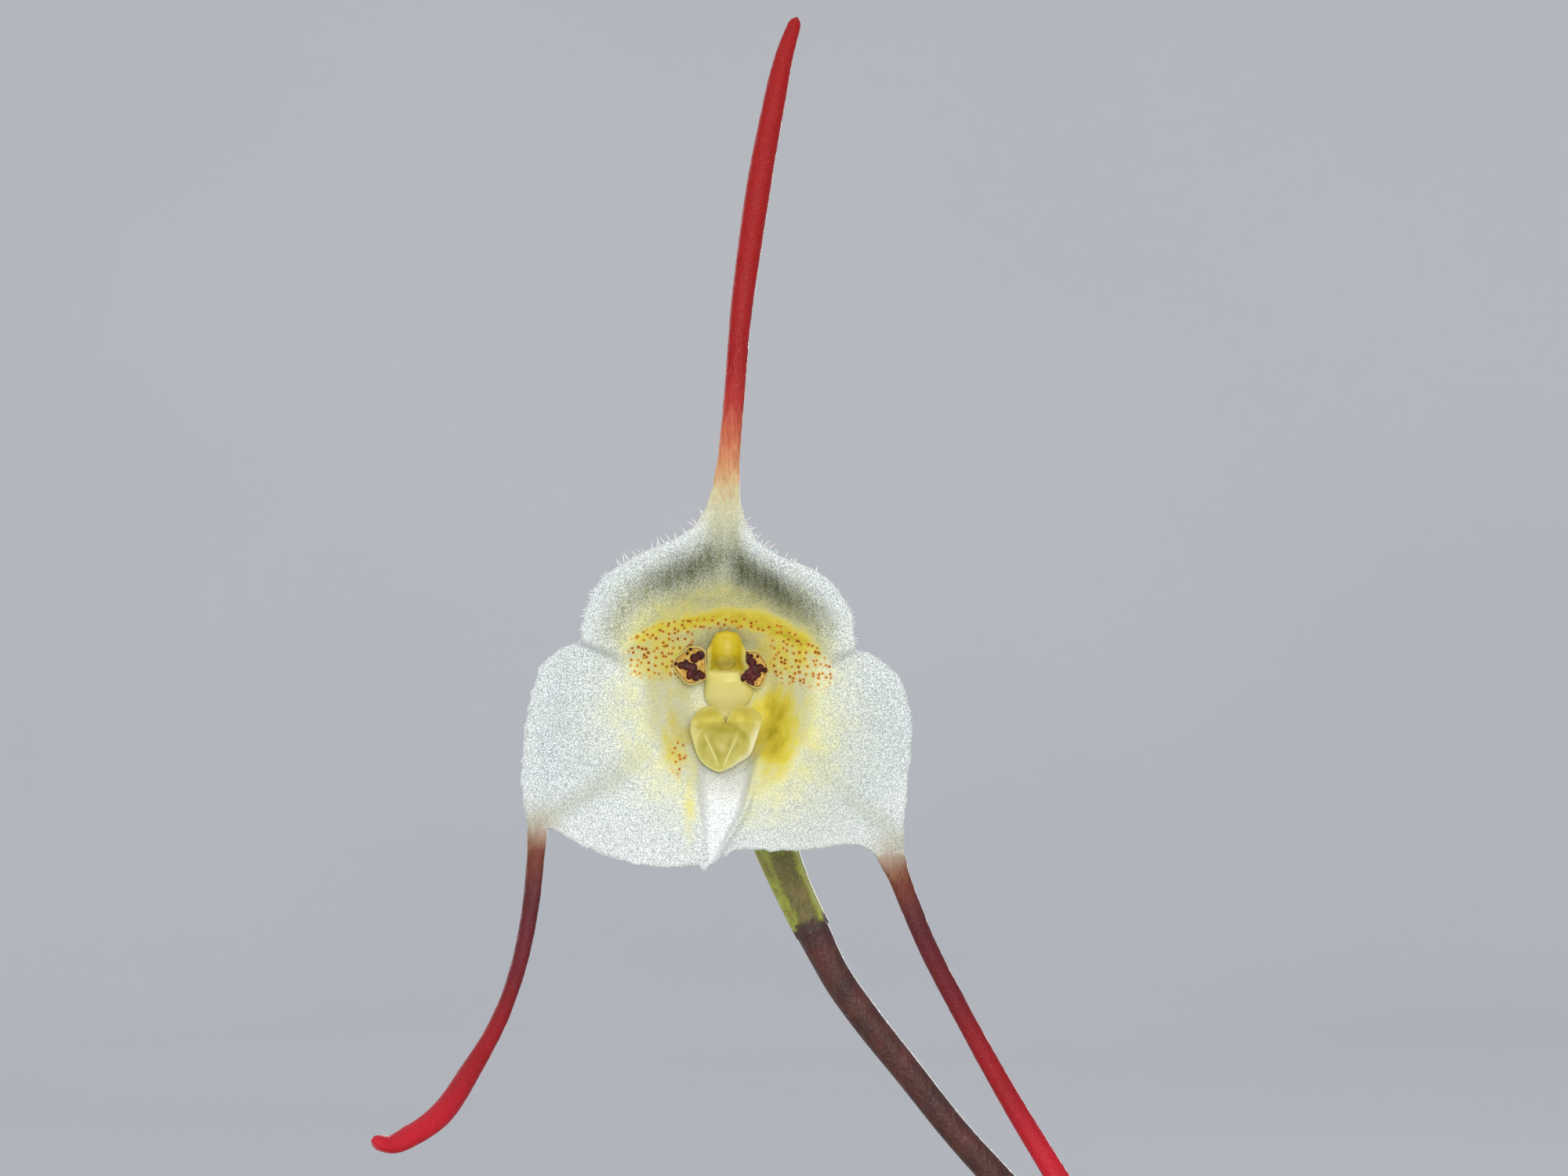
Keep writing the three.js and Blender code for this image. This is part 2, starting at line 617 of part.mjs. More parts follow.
function sepalThickness(x, z) {
  const step = 0.05;
  const slopeX = (sepalDepth(x + step, z) - sepalDepth(x - step, z)) / (2 * step);
  const slopeZ = (sepalDepth(x, z + step) - sepalDepth(x, z - step)) / (2 * step);
  return SEPAL_THICKNESS * Math.min(STEEPEST_THICKENING, Math.hypot(1, slopeX, slopeZ));
}

// A plate in polar rings from its centre to its outline, with alike triangles on both faces
function polarPlate(outline, [centreX, centreZ], ringCount, depthAt, thicknessAt) {
  const columns = outline.length;
  const points = [];
  for (const back of [0, 1]) {
    const put = (x, z) => {
      points.push(bloomPoint(x, depthAt(x, z) + back * thicknessAt(x, z), z));
    };
    put(centreX, centreZ);
    for (let ring = 1; ring <= ringCount; ring++) {
      const share = ring / ringCount;
      for (const [x, z] of outline) {
        put(centreX + share * (x - centreX), centreZ + share * (z - centreZ));
      }
    }
  }
  const faceSize = points.length / 2;
  const triangles = [];
  const bothFaces = (a, b, c) => {
    triangles.push([a, b, c], [a + faceSize, c + faceSize, b + faceSize]);
  };
  for (let column = 0; column < columns; column++) {
    const next = (column + 1) % columns;
    bothFaces(0, 1 + next, 1 + column);
    for (let ring = 0; ring + 1 < ringCount; ring++) {
      const [a, b] = [1 + ring * columns + column, 1 + ring * columns + next];
      const [c, d] = [b + columns, a + columns];
      if (points[a].distanceTo(points[c]) < points[b].distanceTo(points[d])) {
        bothFaces(a, b, c);
        bothFaces(a, c, d);
      } else {
        bothFaces(a, b, d);
        bothFaces(b, c, d);
      }
    }
    const rim = 1 + (ringCount - 1) * columns;
    triangles.push([rim + column, rim + next, rim + next + faceSize]);
    triangles.push([rim + column, rim + next + faceSize, rim + column + faceSize]);
  }
  return closedGeometry(points, triangles);
}

function sepalOutline() {
  return SEPAL_MARGINS.flatMap(({ columns, points }) => {
    const curve = new THREE.SplineCurve(points.map(([x, z]) => new THREE.Vector2(x, z)));
    return curve
      .getSpacedPoints(columns)
      .slice(0, columns)
      .map((point) => point.toArray());
  });
}

function buildSepals() {
  addPiece(
    "sepal_cup",
    polarPlate(sepalOutline(), SPOKE_CENTRE, SEPAL_RINGS, sepalDepth, sepalThickness),
    "sepal",
  );
  for (const [name, points] of Object.entries(TAIL_LINES)) {
    const line = points.map(([x, d, z]) => bloomPoint(x, d, z));
    const length = new THREE.CatmullRomCurve3(line).getLength();
    const first = TAIL_GAP / length;
    const stations = evenStations(18).map((share) => first + share * (1 - first));
    const rings = ringsAlong(line, stations, 8, new THREE.Vector3(1, 0, 0), (share) => {
      const slim = smooth(0, 0.2, share);
      const club = smooth(0.6, 0.9, share);
      const round = Math.sqrt(Math.max(0.05, 1 - smooth(0.955, 1.01, share)));
      return [0, 1].map((axis) => {
        const shaft = TAIL_BASE_HALF[axis] + (TAIL_HALF[axis] - TAIL_BASE_HALF[axis]) * slim;
        return round * (shaft + (TAIL_CLUB_HALF[axis] - shaft) * club);
      });
    });
    addPiece(name, loft(rings), "tail");
  }
}

// Petals, column, anther cap and lip

// A petal is a stout claw with a dished, warty head that faces the viewer
function petalGeometry(side, head, halfWidth, halfHeight) {
  const [headX, headZ] = head;
  const foot = bloomPoint(side * 1.4, 4.6, 0.8);
  const face = bloomPoint(headX, 2.75, headZ);
  const sides = 12;
  const ring = (share, size, lift, wart) =>
    Array.from({ length: sides }, (_, place) => {
      const angle = (2 * Math.PI * place) / sides;
      const wide = 0.4 + (halfWidth - 0.4) * size;
      const tall = 0.4 + (halfHeight - 0.4) * size;
      const scale = share > 1 ? 2 - share : 1;
      const centre = foot.clone().lerp(face, Math.min(1, share));
      return new THREE.Vector3(
        centre.x + scale * wide * Math.cos(angle),
        centre.y + lift + wart * (place % 2 ? -0.14 : 0.05),
        centre.z + scale * tall * Math.sin(angle),
      );
    });
  return loft([
    ring(0, 0, 0, 0),
    ring(0.45, 0.15, 0, 0),
    ring(0.75, 0.7, 0, 0),
    ring(0.95, 1, 0, 0),
    ring(1.08, 1, 0, 0),
    ring(1.3, 1, 0.14, 1),
    ring(1.6, 1, 0.16, -1),
    ring(1.85, 1, 0.14, 1),
  ]);
}

function columnGeometry() {
  const stations = [
    [0.05, 2.75, 2.85, 0.3, 0.25],
    [0.03, 2.8, 2.6, 0.6, 0.5],
    [0.02, 2.85, 2.1, 0.76, 0.72],
    [0.02, 3.0, 1.4, 0.74, 0.8],
    [0.03, 3.35, 0.9, 0.74, 0.85],
    [0.1, 3.8, 0.3, 0.98, 1.05],
    [0.1, 3.95, -0.4, 1.05, 0.95],
    [0.05, 4.05, -1.1, 0.75, 0.7],
    [0, 4.0, -1.7, 0.25, 0.28],
  ];
  const sides = 12;
  return loft(
    stations.map(([x, d, z, halfWidth, halfDepth]) =>
      Array.from({ length: sides }, (_, place) => {
        const angle = (2 * Math.PI * place) / sides;
        return bloomPoint(x + halfWidth * Math.cos(angle), d + halfDepth * Math.sin(angle), z);
      }),
    ),
  );
}

function antherCapGeometry() {
  const cap = new THREE.SphereGeometry(1, 12, 8);
  cap.scale(0.5, 0.26, 0.36);
  const place = bloomPoint(0.02, 1.6, 1.45);
  cap.translate(place.x, place.y, place.z);
  return toGeometry(toSolid(cap));
}

const LIP_CENTRE = [0, -2.6];
const LIP_OUTLINE = [[0, -1.75], [0.3, -1.1], [0.7, -0.85], [1.3, -0.95], [1.85, -1.4], [1.7, -2.1],
  [1.5, -2.8], [1.25, -3.35], [0.7, -3.75], [0.1, -4.1], [-0.32, -4.24], [-0.8, -4.05], [-1.2, -3.75],
  [-1.48, -3.3], [-1.65, -2.7], [-1.8, -2.1], [-1.7, -1.5], [-1.25, -1], [-0.75, -0.85], [-0.3, -1.15]];

// The lip is a spoon, deepest in its middle, with its two upper lobes bent back and two keels that run
// together towards its tip
function lipDepth(x, z) {
  const across = x / 1.8;
  const along = (z - LIP_CENTRE[1]) / 1.75;
  const hollow = 0.55 * Math.max(0, 1 - across ** 2 - along ** 2);
  const lobes = 0.75 * smooth(0.3, 1, along) * Math.abs(across) ** 0.5;
  const keelLine = Math.abs(x + 0.15) - 0.42 * smooth(-4, -1.6, z);
  const keels = 0.35 * bump(keelLine, 0.22) * smooth(-3.9, -3.2, z) * (1 - smooth(-2.1, -1.5, z));
  return 1.55 + hollow + lobes - keels;
}

function lipGeometry() {
  const curve = new THREE.SplineCurve(
    [...LIP_OUTLINE, LIP_OUTLINE[0]].map(([x, z]) => new THREE.Vector2(x, z)),
  );
  const outline = curve.getSpacedPoints(26).slice(0, 26).map((point) => point.toArray());
  const blade = polarPlate(outline, LIP_CENTRE, 5, lipDepth, () => SEPAL_THICKNESS);
  const claw = [[0.05, 2.3, -2.75], [0.02, 3.1, -2.7], [0, 3.9, -2.55]];
  const clawRings = ringsAlong(claw.map(([x, d, z]) => bloomPoint(x, d, z)), evenStations(3), 8,
    new THREE.Vector3(1, 0, 0), () => [0.45, 0.32]);
  return toGeometry(joined([blade, loft(clawRings)]));
}

function buildStalks() {
  const sideways = new THREE.Vector3(1, 0, 0);
  const ovary = ringsAlong(OVARY_LINE.map(([x, d, z]) => bloomPoint(x, d, z)), evenStations(9), 10,
    sideways, (share) => {
      const radius = OVARY_RADIUS * (1.02 - 0.22 * smooth(0.35, 0.95, share));
      return [radius, radius];
    });
  addPiece("ovary", loft(ovary), "ovary");
  const pedicel = ringsAlong(PEDICEL_LINE.map(([x, d, z]) => bloomPoint(x, d, z)), evenStations(12), 8,
    sideways, () => [PEDICEL_RADIUS, PEDICEL_RADIUS]);
  addPiece("pedicel", loft(pedicel), "stalk");
}

buildPot();
buildMoss();
addPiece("rhizome", toGeometry(rhizomeSolid(0)), "rhizome");
for (const plan of tuft) {
  addPiece(`stem_${plan.name}`, stemGeometry(plan), "sheath");
  addPiece(`leaf_${plan.name}`, leafGeometry(plan), "leaf");
}
buildPeduncle();
for (const [name, sizes] of Object.entries(BRACTS)) {
  addPiece(name, bractGeometry(sizes), "bract");
}
buildStalks();
buildSepals();
addPiece("petal_left", petalGeometry(-1, [-1.86, 1.28], 0.8, 0.94), "petal");
addPiece("petal_right", petalGeometry(1, [1.6, 1.08], 0.62, 0.94), "petal");
addPiece("column", columnGeometry(), "column");
addPiece("anther_cap", antherCapGeometry(), "anther");
addPiece("lip", lipGeometry(), "lip");

export default plant;
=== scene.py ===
# %% [markdown]
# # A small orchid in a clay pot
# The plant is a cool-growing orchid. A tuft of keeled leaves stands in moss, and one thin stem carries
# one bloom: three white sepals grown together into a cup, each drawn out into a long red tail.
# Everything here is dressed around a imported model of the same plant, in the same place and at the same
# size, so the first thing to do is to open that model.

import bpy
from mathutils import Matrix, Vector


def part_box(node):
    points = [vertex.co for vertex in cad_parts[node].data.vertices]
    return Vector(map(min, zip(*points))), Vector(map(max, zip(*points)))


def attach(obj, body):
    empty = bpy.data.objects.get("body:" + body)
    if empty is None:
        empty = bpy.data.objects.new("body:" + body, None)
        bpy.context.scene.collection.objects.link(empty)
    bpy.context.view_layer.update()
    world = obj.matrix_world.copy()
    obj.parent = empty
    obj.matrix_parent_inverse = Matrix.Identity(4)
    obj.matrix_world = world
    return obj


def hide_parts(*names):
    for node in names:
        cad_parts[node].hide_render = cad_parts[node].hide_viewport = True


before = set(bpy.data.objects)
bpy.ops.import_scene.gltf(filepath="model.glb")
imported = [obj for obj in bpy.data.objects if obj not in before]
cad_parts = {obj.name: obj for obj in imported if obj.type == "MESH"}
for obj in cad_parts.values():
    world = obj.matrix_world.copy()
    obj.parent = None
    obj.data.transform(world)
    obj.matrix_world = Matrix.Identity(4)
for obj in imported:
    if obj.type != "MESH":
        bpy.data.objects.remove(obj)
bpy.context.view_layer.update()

# %% [markdown]
# ## Numbers and lines
# All sizes below are in millimetres, as a botanist measures a bloom, and become metres only when a
# mesh is made. A few easing functions do most of the shaping: `smooth` rises once between two values,
# `fall` drops once, and `hump` does both around zero. A line through measured points becomes a smooth
# curve by Hermite pieces, whose points are then spaced evenly, so that rings along it are even too.

# %% Easing and smooth lines
import math

import bmesh
import bpy
import numpy as np
from mathutils import Vector

MM = 0.001
SEED = 7


def smooth(low, high, value):
    share = np.clip((value - low) / (high - low), 0, 1)
    return share * share * (3 - 2 * share)


def fall(low, high, value):
    return 1 - smooth(low, high, value)


def hump(distance, width=1):
    return np.exp(-((distance / width) ** 2))


def oval(x, z, middle, half):
    """1 on the outline of an oval, less inside it and more outside."""
    return np.hypot((x - middle[0]) / half[0], (z - middle[1]) / half[1])


def dome(distance, radius, least=0.02):
    """The share of the full width at a distance from a rounded end."""
    return np.sqrt(np.clip(1 - (1 - np.minimum(distance / radius, 1)) ** 2, least, 1))


def round_angles(count):
    return np.linspace(0, 2 * math.pi, count, endpoint=False)


def line_length(line):
    return np.linalg.norm(np.diff(line, axis=0), axis=1).sum()


def smooth_line(points, count):
    """count evenly spaced points on a smooth curve through the given ones, in any number of dimensions."""
    points = np.asarray(points, float)
    steps = np.linalg.norm(np.diff(points[:, :3], axis=0), axis=1)
    knots = np.concatenate([[0], np.cumsum(steps)])
    slopes = np.gradient(points, knots, axis=0) if len(points) > 2 else np.diff(points, axis=0) / steps
    slopes = np.broadcast_to(slopes, points.shape)
    fine = np.linspace(0, knots[-1], 30 * len(points))
    place = np.clip(np.searchsorted(knots, fine, side="right") - 1, 0, len(points) - 2)
    span = (knots[place + 1] - knots[place])[:, None]
    t = (fine - knots[place])[:, None] / span
    curve = ((2 * t**3 - 3 * t**2 + 1) * points[place] + (t**3 - 2 * t**2 + t) * span * slopes[place]
             + (3 * t**2 - 2 * t**3) * points[place + 1] + (t**3 - t**2) * span * slopes[place + 1])
    passed = np.concatenate([[0], np.cumsum(np.linalg.norm(np.diff(curve[:, :3], axis=0), axis=1))])
    even = np.linspace(0, passed[-1], count)
    return np.stack([np.interp(even, passed, column) for column in curve.T], axis=-1)


print("a smooth line of 5 points:", smooth_line([[0, 0], [1, 1], [2, 0]], 5).round(2).tolist())

# %% [markdown]
# ## From points to a piece
# Most organs of a plant are closed skins over rows of rings: a stalk, a tail, a leaf, a petal's claw.
# `ring_faces` joins such rings and closes both ends. `mesh_piece` makes the mesh, turns its faces
# outwards and stores named fields on its points, such as how far along a leaf a point lies. A finish
# reads those fields later, so its pattern follows the organ and not the room.

# %% Rings, meshes and pieces
def carried_sides(line, first):
    """Two sides at each point of a line, carried along it without a twist."""
    tangents = np.gradient(line, axis=0)
    tangents /= np.linalg.norm(tangents, axis=1, keepdims=True)
    firsts = []
    for tangent in tangents:
        first = first - tangent * (first @ tangent)
        first = first / np.linalg.norm(first)
        firsts.append(first)
    return np.array(firsts), np.cross(tangents, np.array(firsts))


def around_line(centre, firsts, seconds, across, up):
    """Rings of points round a line, each given by its distances along the two sides."""
    return centre[:, None] + firsts[:, None] * across[..., None] + seconds[:, None] * up[..., None]


def quads(index):
    """Faces between the rows of a grid of point numbers, where each row closes on itself."""
    turned = np.roll(index, -1, axis=1)
    return np.stack([index[:-1], turned[:-1], turned[1:], index[1:]], axis=-1).reshape(-1, 4)


def ring_faces(rings, sides, start=0):
    index = start + np.arange(rings * sides).reshape(rings, sides)
    return quads(index).tolist() + [index[0].tolist()[::-1], index[-1].tolist()]


def put(name, data):
    thing = bpy.data.objects.new(name, data)
    bpy.context.collection.objects.link(thing)
    return thing


def mesh_piece(name, points, fields=None, faces=None, outwards=True):
    """A mesh of one or more closed skins of rings, or of the given faces, with fields on its points."""
    points = np.asarray(points, float)
    if faces is None:
        rings, sides = points.shape[-3:-1]
        starts = range(0, points.size // 3, rings * sides)
        faces = [face for start in starts for face in ring_faces(rings, sides, start)]
    mesh = bpy.data.meshes.new(name)
    mesh.from_pydata((points.reshape(-1, 3) * MM).tolist(), [], faces)
    for field, values in (fields or {}).items():
        layer = mesh.attributes.new(field, "FLOAT", "POINT")
        values = np.broadcast_to(np.asarray(values, np.float32), points.shape[:-1])
        layer.data.foreach_set("value", values.ravel())
    if outwards:
        shell = bmesh.new()
        shell.from_mesh(mesh)
        bmesh.ops.recalc_face_normals(shell, faces=shell.faces)
        shell.to_mesh(mesh)
        shell.free()
    mesh.shade_smooth()
    return put(name, mesh)


def hand_over(piece, skin, slot, *nodes):
    """Gives a piece its finish, and says which nodes of the frame it stands for. The slot is not used."""
    piece.data.materials.clear()
    piece.data.materials.append(skin)
    if nodes:
        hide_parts(*nodes)
    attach(piece, "root")
    triangles = sum(len(face.vertices) - 2 for face in piece.data.polygons)
    print(f"{piece.name}: {triangles} triangles, for {', '.join(nodes) or 'no node'}")


# %% [markdown]
# ## Nodes as sums
# A finish is a small sum: this colour, mixed with that one where the surface is old. Wiring each sum by
# hand hides it, so one class wraps a node's output and its operators add the Math nodes. A second class
# makes the other nodes, and builds the growing rules of Geometry Nodes further on too, because both
# kinds of tree share their Math, Map Range and noise nodes. Colours are given as a screen shows them.

# %% A class for sockets and a class for trees
class Socket:
    """One output of a node. Sums on it become nodes."""

    def __init__(self, nodes, output):
        self.nodes, self.output = nodes, output

    def math(self, operation, *others):
        return self.nodes.add("ShaderNodeMath", {"operation": operation}, dict(enumerate([self, *others])))

    def __add__(self, other):
        return self.math("ADD", other)

    def __sub__(self, other):
        return self.math("SUBTRACT", other)

    def __rsub__(self, other):
        return self.nodes.add("ShaderNodeMath", {"operation": "SUBTRACT"}, {0: other, 1: self})

    def __mul__(self, other):
        return self.math("MULTIPLY", other)

    def __truediv__(self, other):
        return self.math("DIVIDE", other)

    __radd__ = __add__

    def wave(self, turn="SINE"):
        """A wave between 0 and 1."""
        return self.math(turn) * 0.5 + 0.5

    def ease(self, low, high):
        """0 below low and 1 above high, with a soft step between."""
        inputs = {0: self, 1: low, 2: high, 3: 0.0, 4: 1.0}
        return self.nodes.add("ShaderNodeMapRange", {"interpolation_type": "SMOOTHSTEP"}, inputs)

    def ramp(self, *stops):
        """A colour for each value, from stops of (place, red, green, blue)."""
        colours = self.nodes.add("ShaderNodeValToRGB", None, {0: self})
        elements = colours.output.node.color_ramp.elements
        while len(elements) < len(stops):
            elements.new(0.5)
        for element, (place, *colour) in zip(elements, stops):
            element.position, element.color = place, tone(colour)
        return colours


class Nodes:
    """A node tree that nodes are added to. Each gives one of its outputs."""

    def __init__(self, tree):
        self.tree = tree

    def add(self, kind, settings=None, inputs=None, output=0):
        node = self.tree.nodes.new(kind)
        for key, setting in (settings or {}).items():
            setattr(node, key, setting)
        for key, value in (inputs or {}).items():
            if isinstance(value, Socket):
                self.tree.links.new(value.output, node.inputs[key])
            else:
                node.inputs[key].default_value = value
        return Socket(self, node.outputs[output]) if len(node.outputs) else node

    def step(self, kind, settings=None, output=0, **inputs):
        """A node of Geometry Nodes, with inputs by name and an underscore for each space."""
        named = {key.replace("_", " "): value for key, value in inputs.items()}
        return self.add("GeometryNode" + kind, settings, named, output)

    def vectors(self, operation, first, second):
        return self.add("ShaderNodeVectorMath", {"operation": operation}, {0: first, 1: second})

    def vector(self, x, y, z):
        return self.add("ShaderNodeCombineXYZ", None, {0: x, 1: y, 2: z})

    def axis(self, vector, name):
        return self.add("ShaderNodeSeparateXYZ", None, {0: vector}, name)

    def field(self, name):
        return self.add("ShaderNodeAttribute", {"attribute_name": name}, output="Fac")

    def millimetres(self, *stretch):
        """Where a point is, in millimetres, on coordinates that stay with the piece."""
        place = self.add("ShaderNodeTexCoord", output="Object")
        return self.vectors("MULTIPLY", place, tuple(axis / MM for axis in stretch or (1, 1, 1)))

    def noise(self, scale, detail=3.0, roughness=0.55, place=None):
        inputs = {"Vector": place or self.millimetres(), "Scale": scale, "Detail": detail,
                  "Roughness": roughness}
        return self.add("ShaderNodeTexNoise", None, inputs)

    def cloud(self, scale, detail=3.0, roughness=0.55, low=0.3, high=0.7, place=None):
        """Noise with most of its values pushed out to 0 or 1."""
        return self.noise(scale, detail, roughness, place).ease(low, high)

    def cells(self, scale):
        return self.add("ShaderNodeTexVoronoi", None, {"Vector": self.millimetres(), "Scale": scale})

    def mix(self, factor, first, second):
        first, second = (tone(part) if isinstance(part, tuple) else part for part in (first, second))
        return self.add("ShaderNodeMix", {"data_type": "RGBA"}, {0: factor, 6: first, 7: second}, 2)

    def coats(self, colour, *layers):
        """Thin coats over a colour, each given as (share, colour)."""
        for share, coat in layers:
            colour = self.mix(share, colour, coat)
        return colour

    def relief(self, height, depth, strength=1.0):
        """A bump of the given depth in millimetres where height goes from 0 to 1."""
        inputs = {"Height": height, "Distance": depth * MM, "Strength": strength}
        return self.add("ShaderNodeBump", None, inputs, "Normal")


def tone(colour):
    """A colour as a screen shows it, 0 to 255, in the linear light that a shader reads."""
    parts = [part / 255 for part in colour]
    return tuple(p / 12.92 if p <= 0.04045 else ((p + 0.055) / 1.055) ** 2.4 for p in parts) + (1.0,)


# %% Finishes
SHADER_SOCKETS = {"colour": "Base Color", "roughness": "Roughness", "normal": "Normal", "coat": "Coat Weight",
                  "coat_roughness": "Coat Roughness", "sheen": "Sheen Weight",
                  "specular": "Specular IOR Level", "scatter": "Subsurface Weight",
                  "depth": "Subsurface Scale", "radius": "Subsurface Radius"}


def finish(name):
    """Turns the function below it into a material. The function gives values for the shader's sockets."""
    def make(build):
        material = bpy.data.materials.new(name)
        material.use_nodes = True
        material.node_tree.nodes.clear()
        nodes = Nodes(material.node_tree)
        values = {SHADER_SOCKETS[key]: value for key, value in build(nodes).items()}
        shader = nodes.add("ShaderNodeBsdfPrincipled", None, values)
        nodes.add("ShaderNodeOutputMaterial", None, {"Surface": shader})
        print("finish:", name, "with", len(material.node_tree.nodes), "nodes")
        return material
    return make


# %% [markdown]
# ## Camera, floor and light
# The bloom was photographed level and from straight in front, close up. A long lens keeps the small
# cup from looking stretched. The floor is a wide pale disc that curves up into a wall all the way round,
# so every view has the same plain ground behind it. The sepals are thin: a broad light from the upper
# left and one with a narrower beam in front show their form and reach into the cup, and two weak ones
# from behind glow through them and draw their edges.

# %% Camera in front of the bloom
BLOOM_CENTRE = np.array([-14.0, -18.0, 236.0])
LENS, SENSOR = 150, 36
CAMERA_DISTANCE = 1000 / 3
AIM_EAST, AIM_UP = 3.0, 5.2

camera = put("camera", bpy.data.cameras.new("camera"))
camera.data.lens, camera.data.sensor_width = LENS, SENSOR
camera.data.clip_start, camera.data.clip_end = 0.01, 20
camera.location = (BLOOM_CENTRE + np.array([AIM_EAST, -CAMERA_DISTANCE, AIM_UP])) * MM
camera.rotation_euler = (math.pi / 2, 0, 0)
bpy.context.scene.camera = camera
bpy.context.scene.view_settings.view_transform = "Standard"
print("frame height at the bloom:", round(CAMERA_DISTANCE * SENSOR * 0.75 / LENS, 1), "mm")

# %% Pale floor that curves up into a wall
FLOOR_RADIUS, WALL_RADIUS, WALL_HEIGHT = 3200, 4300, 3600


@finish("pale floor")
def floor_paint(nodes):
    drift = nodes.cloud(0.0012, 2.0, low=0.35, high=0.65)
    return dict(colour=nodes.mix(drift, (233, 234, 235), (238, 238, 238)), roughness=0.85)


turns = round_angles(96)
bend = np.linspace(0, math.pi / 2, 16)
curve_radius = WALL_RADIUS - FLOOR_RADIUS
radii = np.concatenate([[50], FLOOR_RADIUS + curve_radius * np.sin(bend), [WALL_RADIUS]])[:, None]
heights = np.concatenate([[0], curve_radius * (1 - np.cos(bend)), [WALL_HEIGHT]])[:, None]
rings = np.stack([radii * np.cos(turns), radii * np.sin(turns), heights + 0 * turns], axis=-1)
floor = mesh_piece("studio_floor", rings, faces=ring_faces(*rings.shape[:2])[:-1], outwards=False)
floor.data.materials.append(floor_paint)

# %% Soft studio lights
# Each lamp's place in metres, its size, its watts and the angle of its beam
LAMPS = {"key": ((-0.75, -1.0, 0.95), 0.7, 2.8, 180), "front": ((0.2, -2.0, 0.55), 0.8, 2.0, 50),
         "glow": ((0.12, 0.85, 0.36), 0.35, 0.4, 50), "rim": ((-0.7, 0.8, 0.35), 0.5, 0.25, 60)}
AIR_COLOUR, AIR_STRENGTH = (0.9, 0.93, 1.0, 1.0), 0.68

for name, (place, size, watts, beam) in LAMPS.items():
    lamp = bpy.data.lights.new(name, "AREA")
    lamp.shape, lamp.size, lamp.energy, lamp.spread = "DISK", size, watts, math.radians(beam)
    light = put(name, lamp)
    light.location = place
    light.rotation_euler = (Vector(BLOOM_CENTRE * MM) - light.location).to_track_quat("-Z", "Y").to_euler()
    light.visible_camera = False
world = bpy.data.worlds.new("studio air")
world.use_nodes = True
air = world.node_tree.nodes["Background"].inputs
air["Color"].default_value, air["Strength"].default_value = AIR_COLOUR, AIR_STRENGTH
bpy.context.scene.world = world
print("lights:", list(LAMPS))

# %% [markdown]
# ## The sepals' form
# The three sepals are one thin body: a cup in the middle and a flat limb round it. The upper one stands a
# little forward like a hood, and where the lower two meet, a channel runs from the lip to the margin.
# The form is a height field over the bloom's face, d away from the viewer at each x and z. Rings
# from the middle of the cup out to the measured margin carry it, in front and behind.

# %% Depth of the cup, the hood and the channel
SPOKE_CENTRE = np.array([0.1, -0.6])
CUP_DEPTH = 4.0
CUP = ((0.2, -0.3), (3.6, 4.4))
HOOD = ((0.2, -0.3), (4.6, 5.0))
HOOD_FORWARD = 0.5
LIMB_REFLEX = 1.4
NOTCH_ANGLE = 68.2


def hood_share(x, z):
    """1 on the upper sepal and 0 on the lower ones, with a crisp step at the notch in the margin."""
    east, up = x - SPOKE_CENTRE[0], z - SPOKE_CENTRE[1]
    half_fade = 20 - 18.2 * smooth(3, 6.8, np.hypot(east, up))
    return fall(NOTCH_ANGLE - half_fade, NOTCH_ANGLE + half_fade, np.abs(np.degrees(np.arctan2(east, up))))


def channel(x, z):
    """How deep the channel under the lip is, and how far a point lies across it, 0 to 1."""
    down = -z
    last = np.maximum(0, down - 6)
    half = np.maximum(0.14, 1.6 - 0.19 * (down - 3.4) - 0.12 * last**1.3)
    side = x - (0.12 - 0.08 * (down - 3.4) - 0.15 * last)
    across = np.minimum(1, np.hypot(side, 0.12) / (np.where(side > 0, 1.0, 1.15) * half))
    depth = 0.8 * smooth(3, 4.6, down) * (1 - 0.9 * smooth(5.8, 9.2, down))
    crest = 0.35 * hump(side - 1.02 * half, 0.2) * smooth(3.0, 4.2, down) * fall(7.8, 8.9, down)
    return depth * fall(0.62, 1, across) - crest, across


def midrib(x, z):
    """Distance from the line along the middle of a lower sepal, which runs down and out."""
    slope = np.where(x < 0, 0.594, 0.846)
    start = np.where(x < 0, 3.0, 3.4)
    return (z + 2.8 + slope * (np.abs(x) - start)) / np.hypot(1, slope)


def sepal_depth(x, z):
    spread = LIMB_REFLEX * np.maximum(0, (np.abs(x) - 4) / 6) ** 1.7
    drop = 0.5 * np.maximum(0, (-z - 5) / 4) ** 2
    groove = 0.25 * hump(midrib(x, z), 0.6) * smooth(3.2, 4.6, np.abs(x))
    lower = CUP_DEPTH * fall(0.45, 1.3, oval(x, z, *CUP)) + spread + drop + groove
    hood = oval(x, z, *HOOD)
    forward = HOOD_FORWARD * smooth(0.95, 1.35, hood) - 0.75 * smooth(1.5, 2.15, hood)
    upper = CUP_DEPTH * fall(0.4, 1.25, hood) - forward + 0.15 * hump(x - 0.1, 0.5)
    share = hood_share(x, z)
    return upper * share + lower * (1 - share) + channel(x, z)[0]


def steepness(x, z, step=0.05):
    across = (sepal_depth(x + step, z) - sepal_depth(x - step, z)) / (2 * step)
    upwards = (sepal_depth(x, z + step) - sepal_depth(x, z - step)) / (2 * step)
    return np.minimum(2.5, np.sqrt(1 + across**2 + upwards**2))


print("depth in the cup and on the limb:", sepal_depth(np.array([0.2, 8.0]), np.array([0.0, -4.0])).round(2))

